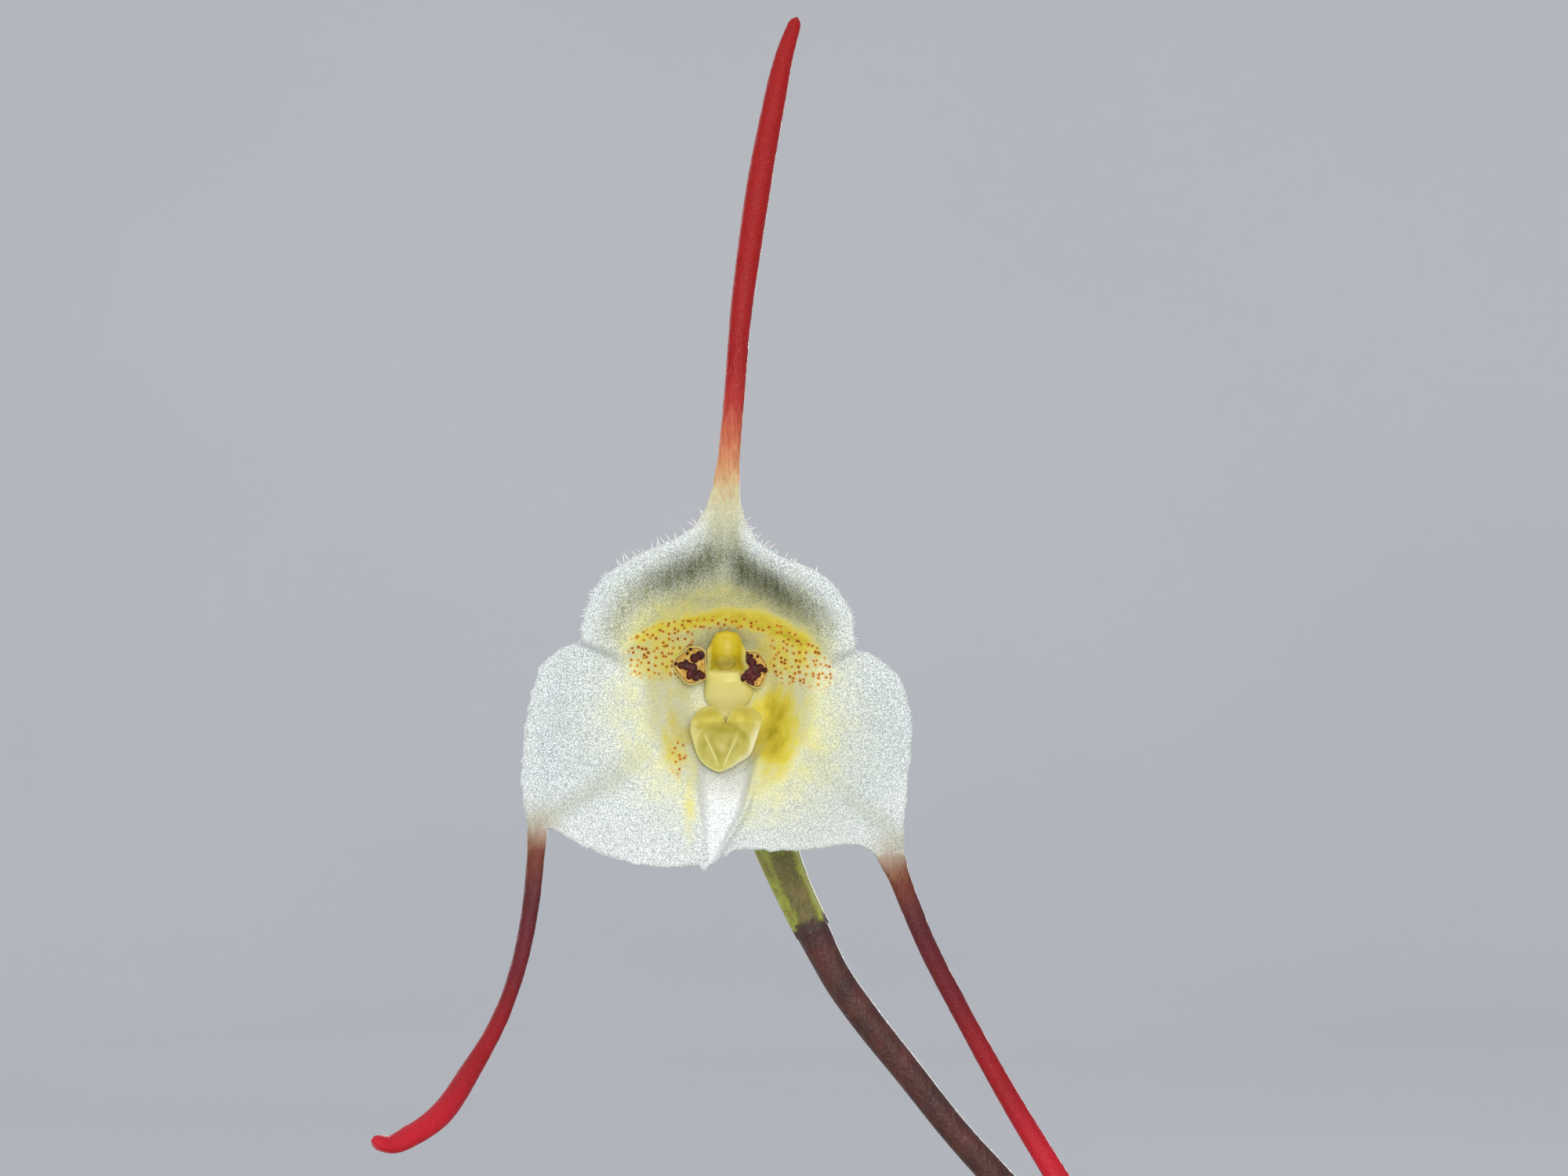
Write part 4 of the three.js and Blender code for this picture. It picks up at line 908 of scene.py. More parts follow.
def petal_shape(name, outline, warts, sides=80):
    edge_line = smooth_line([*outline, outline[0]], sides + 1)[:-1]
    middle = edge_line.mean(axis=0)
    spread = edge_line - middle
    around = np.arctan2(spread[:, 1], spread[:, 0])
    foot = np.array(CLAW_FOOT) * (np.sign(middle[0]), 1)
    claw = CLAW_RADIUS * np.stack([np.cos(around), np.sin(around)], axis=-1)
    up = np.linspace(0, 1, 9)[:, None, None]
    wide = smooth(0.35, 1, up)
    inwards = np.linspace(0.98, 0.03, 26)[:, None]
    flat = np.concatenate([foot * (1 - up) + middle * up + claw * (1 - wide) + spread * wide,
                           (middle + spread * 1.02)[None], middle + spread * inwards[..., None]])
    dish = 0.16 * (1 - inwards**2) - 0.07 * hump(inwards - 0.93, 0.05)
    depth = np.concatenate([FOOT_DEPTH + (FACE_DEPTH + 0.16 - FOOT_DEPTH) * up[..., 0], [[FACE_DEPTH + 0.05]],
                            FACE_DEPTH + dish])
    scale = np.concatenate([np.ones((10, 1)), inwards])
    wart_x, wart_z, size = np.array(warts).T
    hills = hump(np.hypot(flat[..., :1] - wart_x, flat[..., 1:] - wart_z), 1.05 * size)
    stain = hills.max(axis=-1) * (scale < 1)
    points = to_world(flat[..., 0], depth - WART_HEIGHT * smooth(0.15, 0.9, stain), flat[..., 1])
    return mesh_piece(name, points, {"scale": scale, "stain": stain})


@finish("petal cartilage")
def petal_skin(nodes):
    wobble, scale = nodes.noise(6.0), nodes.field("scale")
    line = 1 - ((scale - 0.9) * (scale - 0.9)).ease(0.0002, 0.0018)
    stain = (nodes.field("stain") + wobble * 0.3 - 0.15).ease(0.34, 0.5)
    colour = nodes.coats(nodes.mix(wobble.ease(0.35, 0.65), (182, 136, 48), (216, 180, 96)),
                         (scale.ease(0.84, 0.97), (206, 196, 120)), (line * 0.7, (120, 74, 26)),
                         (stain, nodes.mix(nodes.cloud(3.5), (46, 6, 4), (84, 14, 8))))
    return dict(colour=colour, roughness=0.4 + wobble * 0.15, normal=nodes.relief(wobble, 0.03),
                scatter=0.25, depth=0.4 * MM, specular=0.25)


for name, plan in PETALS.items():
    hand_over(petal_shape("petal_warty_" + name, *plan), petal_skin, "petal", "petal_" + name)

# %% [markdown]
# ## Column
# The column is the bloom's middle: a yellow rounded head over a cream neck that widens into a foot. Two thin
# pale wings run down its sides, and the head ends in a small ledge above the neck. Measured stations
# give its middle and half sizes from the top down, and the wings and ledge are raised on the skin.

# %% Column and anther cap
# Each station's x, depth and z, and its half width and half depth
COLUMN_STATIONS = [
    [0.05, 2.75, 3.0, 0.1, 0.08], [0.05, 2.77, 2.93, 0.4, 0.33], [0.05, 2.8, 2.68, 0.68, 0.55],
    [0.05, 2.82, 2.1, 0.82, 0.7], [0.05, 2.95, 1.4, 0.82, 0.75], [0.12, 3.15, 0.85, 1.02, 0.7],
    [0.16, 3.4, 0.3, 1.22, 0.75], [0.14, 3.6, -0.4, 1.22, 0.65], [0.08, 3.8, -1.1, 0.8, 0.5],
    [0.02, 3.85, -1.7, 0.25, 0.25], [0.02, 3.85, -1.78, 0.08, 0.1],
]
WING_HEIGHT = 0.24
LEDGE_DEPTH, LEDGE_Z = 0.22, 0.95
CAP_CENTRE = (0.03, 2.23, 1.42)
CAP_HALF_WIDTH, CAP_HALF_DEPTH, CAP_HALF_HEIGHT = 0.52, 0.1, 0.4


def column_shape(rings=84, sides=56):
    stations = smooth_line(COLUMN_STATIONS, rings)
    middle_x, middle_d, z, half_width, half_depth = stations.T[..., None]
    angle = round_angles(sides)
    on_wing = hump(np.minimum(np.abs(angle - 1.08 * math.pi), np.abs(angle - 1.92 * math.pi)), 0.13)
    wing = on_wing * smooth(0.2, 0.9, z) * fall(1.9, 2.5, z)
    in_front = smooth(0.2, 0.8, -np.sin(angle))
    ledge = LEDGE_DEPTH * in_front * fall(LEDGE_Z - 0.1, LEDGE_Z + 0.02, z) * smooth(0.3, 0.9, z)
    x = middle_x + (half_width + WING_HEIGHT * wing) * np.cos(angle)
    d = middle_d + (half_depth + 0.5 * WING_HEIGHT * wing) * np.sin(angle) + ledge
    return mesh_piece("column_body", to_world(x, d, z + 0 * x), {"height": z, "wing": wing})


def cap_shape(rings=26, sides=40):
    """A rounded shield over the pollen, with a shallow cleft down its middle."""
    polar = np.linspace(0.02, math.pi - 0.02, rings)[:, None]
    angle = round_angles(sides)
    x = CAP_HALF_WIDTH * np.sin(polar) * np.cos(angle)
    d = CAP_HALF_DEPTH * np.sin(polar) * np.sin(angle)
    z = CAP_HALF_HEIGHT * np.cos(polar) + 0 * x
    d = d + 0.03 * hump(x, 0.07) * (d < 0)
    return mesh_piece("anther_shield", to_world(x, d, z) + CAP_CENTRE, {"lower": -z / CAP_HALF_HEIGHT})


@finish("column wax")
def column_wax(nodes):
    cloud = nodes.cloud(1.6)
    place = (nodes.field("height") + (cloud - 0.5) * 0.1 + 2.0) / 5.0
    body = place.ramp((0.0, 226, 216, 142), (0.3, 228, 218, 146), (0.5, 216, 204, 118),
                      (0.575, 228, 216, 130), (0.605, 176, 156, 30), (0.68, 168, 146, 18),
                      (0.78, 196, 172, 22), (1.0, 214, 194, 60))
    return dict(colour=nodes.mix(nodes.field("wing") * 0.75, body, (226, 220, 150)),
                roughness=0.32 + cloud * 0.12, normal=nodes.relief(nodes.noise(9.0), 0.012), scatter=0.45,
                radius=(1.0, 0.85, 0.4), depth=0.6 * MM, specular=0.35)


@finish("anther shield")
def cap_wax(nodes):
    cloud = nodes.cloud(3.0)
    colour = (nodes.field("lower") + (cloud - 0.5) * 0.4).ease(-1.0, 1.0).ramp(
        (0.0, 188, 165, 20), (0.4, 160, 138, 14), (0.85, 144, 124, 14), (1.0, 172, 152, 42))
    return dict(colour=colour, roughness=0.58 + cloud * 0.1, normal=nodes.relief(cloud, 0.01), scatter=0.3,
                depth=0.4 * MM)


hand_over(column_shape(), column_wax, "column", "column")
hand_over(cap_shape(), cap_wax, "anther", "anther_cap")

# %% [markdown]
# ## Lip
# The lip hangs below the column on a short claw: a small heart-shaped spoon with two bent lobes, a hollow
# blade, and two keels that run together towards its point. Like the sepals it is a height field over
# its outline. It is a plate of rings with a rounded edge, and its keels are both shape and colour.

# %% Spoon of the lip
LIP_CENTRE = np.array([0.0, -2.6])
LIP_OUTLINE = [[0, -1.78], [0.22, -1.25], [0.7, -0.85], [1.3, -0.95], [1.85, -1.4], [1.72, -2.1], [1.5, -2.8],
               [1.25, -3.35], [0.7, -3.75], [0.1, -4.1], [-0.32, -4.24], [-0.8, -4.05], [-1.2, -3.75],
               [-1.48, -3.3], [-1.65, -2.7], [-1.8, -2.1], [-1.7, -1.5], [-1.25, -1], [-0.75, -0.85],
               [-0.25, -1.2], [0, -1.78]]
LIP_DEPTH, LIP_THICKNESS = 1.75, 0.34


def lip_keels(x, z):
    line = np.abs(x + 0.22) - (0.16 + 0.6 * smooth(-4.1, -2.2, z))
    return hump(line, 0.13) * smooth(-4.05, -3.5, z) * fall(-2.9, -2.0, z)


def lip_lobes(x, z):
    """1 on the two upper lobes and 0 on the blade below them."""
    return smooth(-2.5, -1.35, z - 0.1 * np.abs(x))


def lip_depth(x, z):
    hollow = 0.8 * np.maximum(0, 1 - ((x + 0.1) / 1.35) ** 2 - ((z + 2.9) / 1.25) ** 2)
    lobes = 0.75 * smooth(0.45, 1, (z - LIP_CENTRE[1]) / 1.75) * np.sqrt(np.abs(x / 1.8) + 0.02)
    pads = 0.42 * hump(oval(np.abs(x), z, (0.85, -1.5), (0.75, 0.5))) * lip_lobes(x, z)
    return LIP_DEPTH + hollow + lobes - pads - 0.28 * lip_keels(x, z)


def lip_shape(columns=150, rings=34):
    outline = smooth_line(LIP_OUTLINE, columns + 1)[:-1]
    inwards = np.linspace(0.02, 1, rings)
    scale = np.concatenate([inwards, inwards[::-1]])[:, None]
    behind = np.repeat([0, 1], rings)[:, None]
    x, z = np.moveaxis(LIP_CENTRE + scale[..., None] * (outline - LIP_CENTRE), -1, 0)
    wall = LIP_THICKNESS * (0.35 + 0.65 * smooth(0, 0.25, 1 - scale))
    flange = smooth(-0.4, 1.0, x) * fall(-2.4, -1.5, z)
    return mesh_piece("lip_spoon", to_world(x, lip_depth(x, z) + behind * wall, z),
                      {"scale": scale, "keel": lip_keels(x, z) * (1 - behind), "lobe": lip_lobes(x, z),
                       "flange": flange})


@finish("lip wax")
def lip_wax(nodes):
    cloud = nodes.cloud(1.4)
    veins = nodes.cloud(1.4, 2.0, low=0.35, place=nodes.millimetres(4.0, 1.0, 0.8))
    pale_rim = nodes.field("scale").ease(0.7, 1.0) * (0.2 + nodes.field("flange") * 0.6)
    colour = nodes.coats(nodes.mix(cloud, (184, 174, 78), (202, 192, 104)),
                         (nodes.field("lobe") * 0.9, nodes.mix(cloud, (190, 172, 50), (206, 192, 82))),
                         (veins * 0.12, (150, 142, 66)), (pale_rim, (224, 220, 182)),
                         (nodes.field("keel") * 0.6, (214, 208, 150)))
    return dict(colour=colour, roughness=0.34 + cloud * 0.15, normal=nodes.relief(cloud, 0.02), scatter=0.5,
                radius=(1.0, 0.9, 0.5), depth=0.7 * MM, specular=0.35)


hand_over(lip_shape(), lip_wax, "lip", "lip")

# %% [markdown]
# ## Stalks
# The lip's claw, ovary, pedicel and flower stem all follow a path with a changing thickness, so one rule
# makes them: it turns a line into a curve, sweeps a ribbed ring along it and closes the ends. The line
# carries its half width at each point. Which way the skin faces and how far along it lies are stored for
# the finishes.

# %% Rule for stalks
def stalk_rule(skin):
    rule = Rule("stalk", Sides=24, Ribs=6.0, Relief=0.0)
    curve = rule.step("MeshToCurve", Mesh=rule.given["Geometry"])
    along = rule.step("SplineParameter", output="Length")
    marked = rule.step("StoreNamedAttribute", {"data_type": "FLOAT", "domain": "POINT"}, Geometry=curve,
                       Name="along", Value=along / MM)
    ring = rule.step("CurvePrimitiveCircle", {"mode": "RADIUS"}, Resolution=rule.given["Sides"], Radius=1.0)
    spot = rule.step("InputPosition")
    turn = rule.axis(spot, "X").math("ARCTAN2", rule.axis(spot, "Y"))
    size = 1 + (turn * rule.given["Ribs"]).math("COSINE") * rule.given["Relief"]
    ribbed = rule.add("ShaderNodeVectorMath", {"operation": "SCALE"}, {0: spot, "Scale": size})
    profile = rule.step("SetPosition", Geometry=ring, Position=ribbed)
    swept = rule.step("CurveToMesh", Curve=marked, Profile_Curve=profile, Scale=rule.stored("half"),
                      Fill_Caps=True)
    return rule.close(swept, skin)


def grow_stalk(name, line, halves, skin, sides, ribs, relief, slot, *nodes):
    """A stalk with the given half widths along a line, and a field for how much its skin faces front."""
    source = line_source(name, line, half=halves * MM)
    piece = grow(name, source, stalk_rule(skin), Sides=sides, Ribs=ribs, Relief=relief)
    normals = np.empty(3 * len(piece.data.vertices), np.float32)
    piece.data.vertex_normals.foreach_get("vector", normals)
    facing = piece.data.attributes.new("facing", "FLOAT", "POINT")
    facing.data.foreach_set("value", -normals.reshape(-1, 3)[:, 1].copy())
    hand_over(piece, skin, slot, *nodes)


# %% Finishes of the ovary and the stalks
@finish("ovary skin")
def ovary_skin(nodes):
    mottle = nodes.cloud(1.1, 4.0, 0.65, 0.35, 0.65)
    fine = nodes.cloud(6.0)
    dark = nodes.mix(mottle, (72, 60, 34), (118, 102, 52))
    middle = (nodes.field("facing") + (fine - 0.5) * 0.25 + mottle * 0.2).ease(0.7, 1.05)
    joint = (nodes.field("along") + mottle * 0.5).ease(15.2, 15.65)
    colour = nodes.coats(nodes.mix(fine, (144, 154, 44), (184, 190, 78)), (mottle * 0.35, (150, 116, 44)),
                         (middle * 0.9, dark), (joint, (66, 40, 30)))
    return dict(colour=colour, roughness=0.42 + fine * 0.2, normal=nodes.relief(fine, 0.03), scatter=0.15,
                depth=0.5 * MM, coat=0.15)


@finish("stalk skin")
def stalk_skin(nodes):
    fine = nodes.cloud(5.0)
    streak = nodes.cloud(1.3, low=0.35, place=nodes.millimetres(3.0, 3.0, 0.35))
    speck = 1 - nodes.cells(1.9).ease(0.1, 0.2)
    colour = nodes.coats(nodes.mix(nodes.cloud(0.7, 4.0, 0.6), (60, 22, 21), (90, 36, 30)),
                         (streak * 0.25, (92, 70, 40)), (speck * 0.5, (48, 24, 24)))
    return dict(colour=colour, roughness=0.42 + fine * 0.2, normal=nodes.relief(fine + streak, 0.03),
                scatter=0.1, depth=0.4 * MM, coat=0.1)


# %% Claw of the lip, ovary, pedicel and flower stem
CLAW_LINE = [[0.05, 2.7, -2.75], [0.02, 3.2, -2.7], [0, 3.9, -2.55]]
OVARY_LINE = [[0.2, 4.25, -0.5], [0.35, 6.3, -1.5], [0.5, 7.7, -2.8], [1.15, 8.9, -4.65],
              [1.97, 9.9, -6.74], [2.71, 10.6, -8.83], [3.56, 10.9, -10.9], [4.4, 11, -12.6],
              [4.54, 11.01, -12.86]]
PEDICEL_LINE = [[4.2, 10.97, -12.2], [5.9, 11.4, -15.5], [7.39, 11.7, -17.6], [9.36, 12.1, -20.1],
                [12.38, 12.6, -23.9], [14.18, 12.9, -25.9], [16.1, 13.2, -28], [17.85, 13.3, -29.85],
                [18.65, 13.3, -30.8], [18.95, 13.35, -32.0]]
PEDUNCLE_LINE = [[7.2, 3.4, 69.0], [7.6, 3.1, 90], [8.3, 1.8, 120], [8.2, -0.2, 150], [7, -2.4, 178],
                 [5.4, -4.1, 198], [4.7, -4.7, 205.2]]
OVARY_LENGTH, PEDUNCLE_LENGTH = 15.4, 136
CLAW_HALF, OVARY_HALF, PEDICEL_HALF, PEDUNCLE_HALF = 0.38, 1.24, 0.78, 0.95
# Each joint of the flower stem: its share of the length and how far it swells
STEM_JOINTS = ((0.985, 0.3), (0.55, 0.14), (0.12, 0.14))

grow_stalk("lip_claw", smooth_line(CLAW_LINE, 16) + BLOOM_CENTRE, np.full(16, CLAW_HALF), lip_wax,
           20, 2.0, 0.1, "lip")
share = np.linspace(0, 1, 90)
halves = OVARY_HALF * (1.03 - 0.27 * smooth(0.4, 0.95, share)) * dome(share * OVARY_LENGTH, 0.5, 0.01)
grow_stalk("ovary_ribbed", smooth_line(OVARY_LINE, 90) + BLOOM_CENTRE, halves, ovary_skin,
           72, 6.0, 0.045, "ovary", "ovary")
share = np.linspace(0, 1, 120)
halves = PEDICEL_HALF * (1 + 0.16 * fall(0.0, 0.12, share) + 0.04 * np.sin(9 * share))
grow_stalk("pedicel_stalk", smooth_line(PEDICEL_LINE, 120) + BLOOM_CENTRE, halves, stalk_skin,
           40, 3.0, 0.03, "stalk", "pedicel")
share = np.linspace(0, 1, 260)
swelling = sum(hump(share - at, 0.012) * size for at, size in STEM_JOINTS)
halves = PEDUNCLE_HALF * (1.06 - 0.1 * share) + swelling
halves *= dome(share * PEDUNCLE_LENGTH, 0.6, 0.01) * dome((1 - share) * PEDUNCLE_LENGTH, 0.6, 0.01)
grow_stalk("flower_stem", smooth_line(PEDUNCLE_LINE, 260), halves, stalk_skin,
           36, 5.0, 0.025, "stalk", "peduncle")

# %% [markdown]
# ## Bracts
# Three papery bracts clasp the flower stem, one at each of its joints. Each is a short rolled sheet that hugs
# the stem at its foot, gapes at its mouth and ends in a point on one side. A sheet with two faces is
# a row of flat rings: over the outer face from left to right and back along the inner one.

# %% Rolled sheets
# Each bract's foot height, its length and the radius of its mouth
BRACTS = {"lower": (84, 15, 1.75), "upper": (142, 13, 1.65), "floral": (194.5, 12.5, 1.9)}
BRACT_THICKNESS = 0.25


def there_and_back(over, under):
    """Rings that go along each row of one face and back along the other."""
    return np.concatenate([over, under[:, ::-1]], axis=1)


def bract_shape(name, foot, length, mouth, rings=44, across=22):
    stem = smooth_line(PEDUNCLE_LINE, 800)
    centre = smooth_line(stem[(stem[:, 2] > foot) & (stem[:, 2] < foot + length)], rings)
    north, east = carried_sides(centre, np.array([0.0, 1.0, 0.0]))
    share = np.linspace(0, 1, rings)[:, None]
    spread = np.linspace(-1, 1, across)
    angle = spread * math.radians(205) * (1 - 0.78 * smooth(0.55, 1, share) ** 1.3) / 2
    radius = 1.32 + (mouth - 1.3) * share**1.4 + 0.05 * np.sin(9 * angle + 5 * share) * share
    radius = radius + 0.12 * np.abs(spread) ** 4 * share
    outside = radius + BRACT_THICKNESS * (1 - 0.6 * np.abs(spread) ** 6)
    faces = [around_line(centre, north, east, size * np.cos(angle), size * np.sin(angle))
             for size in (outside, radius)]
    return mesh_piece(name, there_and_back(*faces),
                      {"share": share, "across": np.concatenate([spread, spread[::-1]])})


@finish("dry sheath")
def paper(nodes):
    """Dry sheath tissue: straw brown, veined lengthwise, darker and torn towards the mouth."""
    fine = nodes.cloud(2.4, 4.0, 0.6)
    vein = (nodes.field("across") * 34.0 + fine * 0.8).wave()
    colour = nodes.coats(nodes.mix(fine, (150, 132, 84), (182, 164, 112)),
                         (nodes.field("share").ease(0.1, 0.9) * 0.6, (122, 84, 52)),
                         (vein.ease(0.55, 1.0) * 0.55, (92, 60, 38)),
                         (nodes.cloud(0.9, 4.0, 0.65, 0.5, 0.68) * 0.6, (84, 56, 40)))
    return dict(colour=colour, roughness=0.55 + fine * 0.25, normal=nodes.relief(vein + fine * 0.5, 0.08),
                scatter=0.2, depth=0.4 * MM, sheen=0.2)


for name, plan in BRACTS.items():
    hand_over(bract_shape("papery_bract_" + name, *plan), paper, "bract", "bract_" + name)

# %% [markdown]
# ## The tuft
# Twelve short stems stand close together, each turned by the golden angle from the last, the inner ones
# upright and the outer ones leaning. Each is wrapped in three tubular sheaths and carries one leaf. The
# random draws follow a fixed recipe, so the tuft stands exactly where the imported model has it.

# %% Where the stems and leaves stand
GOLDEN = 137.508
LEAF_COUNT = 12
SURFACE_Z = 68.0
Z_AXIS = np.array([0.0, 0.0, 1.0])
STEM_RADIUS = 1.2


def tuft_plans():
    plans, state = [], SEED

    def draw(inner, outer):
        """A value from (low, span), the inner ones for the upright stems and the outer for the others."""
        nonlocal state
        state = state * 16807 % 2147483647
        low, span = inner if upright else outer
        return low + span * state / 2147483647

    for number in range(LEAF_COUNT):
        turn = math.radians(20 + number * GOLDEN)
        away = 3.2 + 3.4 * math.sqrt(number)
        heading = math.radians(285) if number == 0 else turn
        upright = number < 4
        stem_lean = math.radians(draw((5, 3), (14, 6)))
        plan = dict(stem_lean=stem_lean, stem_length=draw((26, 6), (20, 8)),
                    leaf_lean=math.radians(draw((20, 12), (48, 20))), leaf_length=draw((80, 8), (86, 14)),
                    twist=draw((-0.25, 0.5), (-0.25, 0.5)))
        outward = np.array([math.cos(heading), math.sin(heading), 0.0])
        foot = np.array([away * math.cos(turn), away * math.sin(turn),
                         SURFACE_Z + 2.2 + 1.75 * math.sin(stem_lean)])
        axis = outward * math.sin(stem_lean) + Z_AXIS * math.cos(stem_lean)
        plans.append(dict(plan, foot=foot, outward=outward, side=np.cross(outward, Z_AXIS), axis=axis))
    return plans


def hand_over_tuft(name, shape, labels, skin, slot, node):
    """One mesh of the twelve skins that shape(plan, number) gives, each with a field for each label."""
    grids, columns = zip(*(shape(plan, number) for number, plan in enumerate(TUFT)))
    size = grids[0].shape[:2]
    fields = {label: [np.broadcast_to(column[place], size) for column in columns]
              for place, label in enumerate(labels)}
    hand_over(mesh_piece(name, grids, fields), skin, slot,
              *[f"{node}_{number + 1:02d}" for number in range(LEAF_COUNT)])


TUFT = tuft_plans()
print("leaf lengths:", [round(plan["leaf_length"]) for plan in TUFT], "mm")

# %% Stems in their sheaths
SHEATH_MOUTHS = (0.3, 0.62, 0.9)
STEM_RINGS, STEM_SIDES = 84, 36


def stem_grid(plan, number):
    share = np.linspace(0, 1, STEM_RINGS)[:, None]
    angle = round_angles(STEM_SIDES)
    ragged = 0.022 * np.cos(angle - number) + 0.008 * np.sin(7 * angle + 3 * number)
    radius, torn, foot = STEM_RADIUS, 0, -0.02
    for mouth in SHEATH_MOUTHS:
        within = smooth(foot - 0.01, foot + 0.05, share) * (share <= mouth + ragged)
        flare = 0.34 + 0.28 * smooth(mouth - 0.28, mouth, share)
        radius = np.maximum(radius, STEM_RADIUS + flare * within)
        torn = np.maximum(torn, smooth(mouth - 0.07, mouth, share) * within)
        foot = mouth - 0.02
    ribs = 0.045 * np.cos(9 * angle) * smooth(0.02, 0.1, share) * fall(0.94, 1, share)
    radius = (radius + ribs) * dome((1 - share) * 26, 0.5)
    centre = plan["foot"] + plan["axis"] * (share * (plan["stem_length"] + 0.5))
    other = np.cross(plan["side"], plan["axis"])
    grid = around_line(centre, plan["side"][None], other[None], radius * np.cos(angle),
                       radius * np.sin(angle))
    return grid, [share, angle / (2 * math.pi), torn, (number * 0.618) % 1]


@finish("ribbed sheath")
def sheath_skin(nodes):
    fine = nodes.cloud(2.0, 4.0, 0.6)
    rib = (nodes.field("around") * (9 * 2 * math.pi)).wave("COSINE")
    green = nodes.mix(fine, (96, 112, 54), (130, 138, 74))
    ageing = (nodes.field("share") + nodes.field("tint") * 0.4 + fine * 0.25).ease(0.55, 1.15)
    colour = nodes.coats(nodes.mix(fine, (138, 116, 74), (170, 148, 100)), (ageing, green),
                         (rib * 0.5, (84, 58, 38)),
                         (nodes.field("torn") * (0.55 + fine * 0.45), (70, 44, 32)))
    return dict(colour=colour, roughness=0.55 + fine * 0.25, normal=nodes.relief(fine + rib * 0.5, 0.08),
                scatter=0.1, depth=0.4 * MM, sheen=0.15)


hand_over_tuft("sheathed_stems", stem_grid, ("share", "around", "torn", "tint"), sheath_skin, "sheath",
               "stem")

# %% [markdown]
# ## Leaves
# A leaf starts as a narrow rounded stalk and widens slowly into a blade that is folded along its midrib,
# with a keel below and a blunt tip. It bends outwards more and more along its length. The blade waves a
# little at its margin and its skin sinks over each long vein. Its fields say how far along and across a
# point lies, so that the veins drawn by the finish follow the blade.

# %% Leaf blades
LEAF_RINGS, LEAF_ACROSS = 72, 23


def leaf_grid(plan, number):
    def way(share):
        """The leaf's direction at each share of its length."""
        lean = (plan["stem_lean"] + (plan["leaf_lean"] - plan["stem_lean"]) * share**1.6)[:, None]
        return np.sin(lean) * plan["outward"] + np.cos(lean) * Z_AXIS

    share = np.linspace(0, 1, LEAF_RINGS)
    steps = plan["leaf_length"] / (LEAF_RINGS - 1) * way((share[1:] + share[:-1]) / 2)
    start = plan["foot"] + plan["axis"] * (plan["stem_length"] - 1.5)
    centre = start + np.concatenate([[np.zeros(3)], np.cumsum(steps, axis=0)])
    tangent = way(share)
    share = share[:, None]
    turn = plan["twist"] * share
    side = plan["side"] * np.cos(turn) + np.cross(tangent, plan["side"]) * np.sin(turn)
    upper = np.cross(side, tangent)
    tip = np.maximum(0, share - 0.66) / 0.34
    half = 1.1 + 0.25 * smooth(0.02, 0.12, share) + 6.85 * smooth(0.14, 0.66, share)
    half = np.maximum(0.3, half * np.clip(1 - tip**2.2, 0.0004, 1) ** 0.8)
    across = np.linspace(-1, 1, LEAF_ACROSS)
    blade = smooth(0.2, 0.6, share) * fall(0.9, 1, share)
    wave = 0.35 * blade * np.abs(across) ** 3 * np.sin(9 * share + number + 1.4 * (across > 0))
    veins = 0.05 * blade * (np.cos(across * 5 * math.pi) - 1)
    fold = 0.32 * (1 - 0.45 * share) * (np.sqrt(across**2 + 0.004) - 0.063)
    stalk = fall(0.1, 0.26, share)
    section = (1 - 0.45 * np.abs(across) ** 3) * (1 - stalk) + np.sqrt(1 - 0.9 * across**2) * stalk
    thick = (0.62 + 1.3 * fall(0.1, 0.4, share)) * section
    thick = np.maximum(0.16, thick * np.minimum(1, half / 1.1))
    keel = 0.75 * fall(0.55, 1, share) * hump(across * half / 1.3, 0.45) * (1 - stalk)
    height = (half * fold + wave + veins) * (1 - stalk) + 0.5 * thick * stalk
    faces = [around_line(centre, side, upper, across * half, up) for up in (height, height - thick - keel)]
    return there_and_back(*faces), [share, np.concatenate([across, across[::-1]]),
                                    np.repeat([1.0, 0.0], LEAF_ACROSS), (number * 0.618) % 1]


@finish("leaf leather")
def leaf_skin(nodes):
    fine = nodes.cloud(2.2, 4.0, 0.6)
    cloud = nodes.cloud(0.16)
    share, across, upper = (nodes.field(name) for name in ("share", "across", "upper"))
    out = across.math("ABSOLUTE")
    line = (across * 40.0 + fine * 0.9).wave()
    green = nodes.mix(cloud, (62, 92, 38), (84, 118, 50))
    under = nodes.mix(cloud, (104, 126, 74), (124, 142, 88))
    fleck = 1 - (nodes.cells(0.42) + fine * 0.1).ease(0.1, 0.16)
    colour = nodes.coats(under, (upper, nodes.mix(nodes.field("tint") * 0.45, green, (104, 132, 62))),
                         (line.ease(0.5, 1.0) * 0.22, (48, 72, 30)),
                         ((1 - out.ease(0.02, 0.09)) * 0.55, (126, 148, 82)),
                         (out.ease(0.93, 1.0) * 0.5, (134, 142, 84)),
                         ((1 - (share + fine * 0.1).ease(0.03, 0.26)) * 0.75, (96, 92, 58)),
                         ((share + fine * 0.05).ease(0.965, 1.0) * 0.8, (122, 92, 50)),
                         (fleck * 0.35, (60, 50, 36)))
    height = fine * 0.4 + line * 0.6 - nodes.cells(5.0) * 0.3
    return dict(colour=colour, roughness=0.36 + fine * 0.16 + (1 - upper) * 0.12,
                normal=nodes.relief(height, 0.08), scatter=0.12, radius=(0.5, 1.0, 0.25), depth=0.8 * MM,
                coat=0.12, coat_roughness=0.35)


hand_over_tuft("keeled_leaves", leaf_grid, ("share", "across", "upper", "tint"), leaf_skin, "leaf", "leaf")

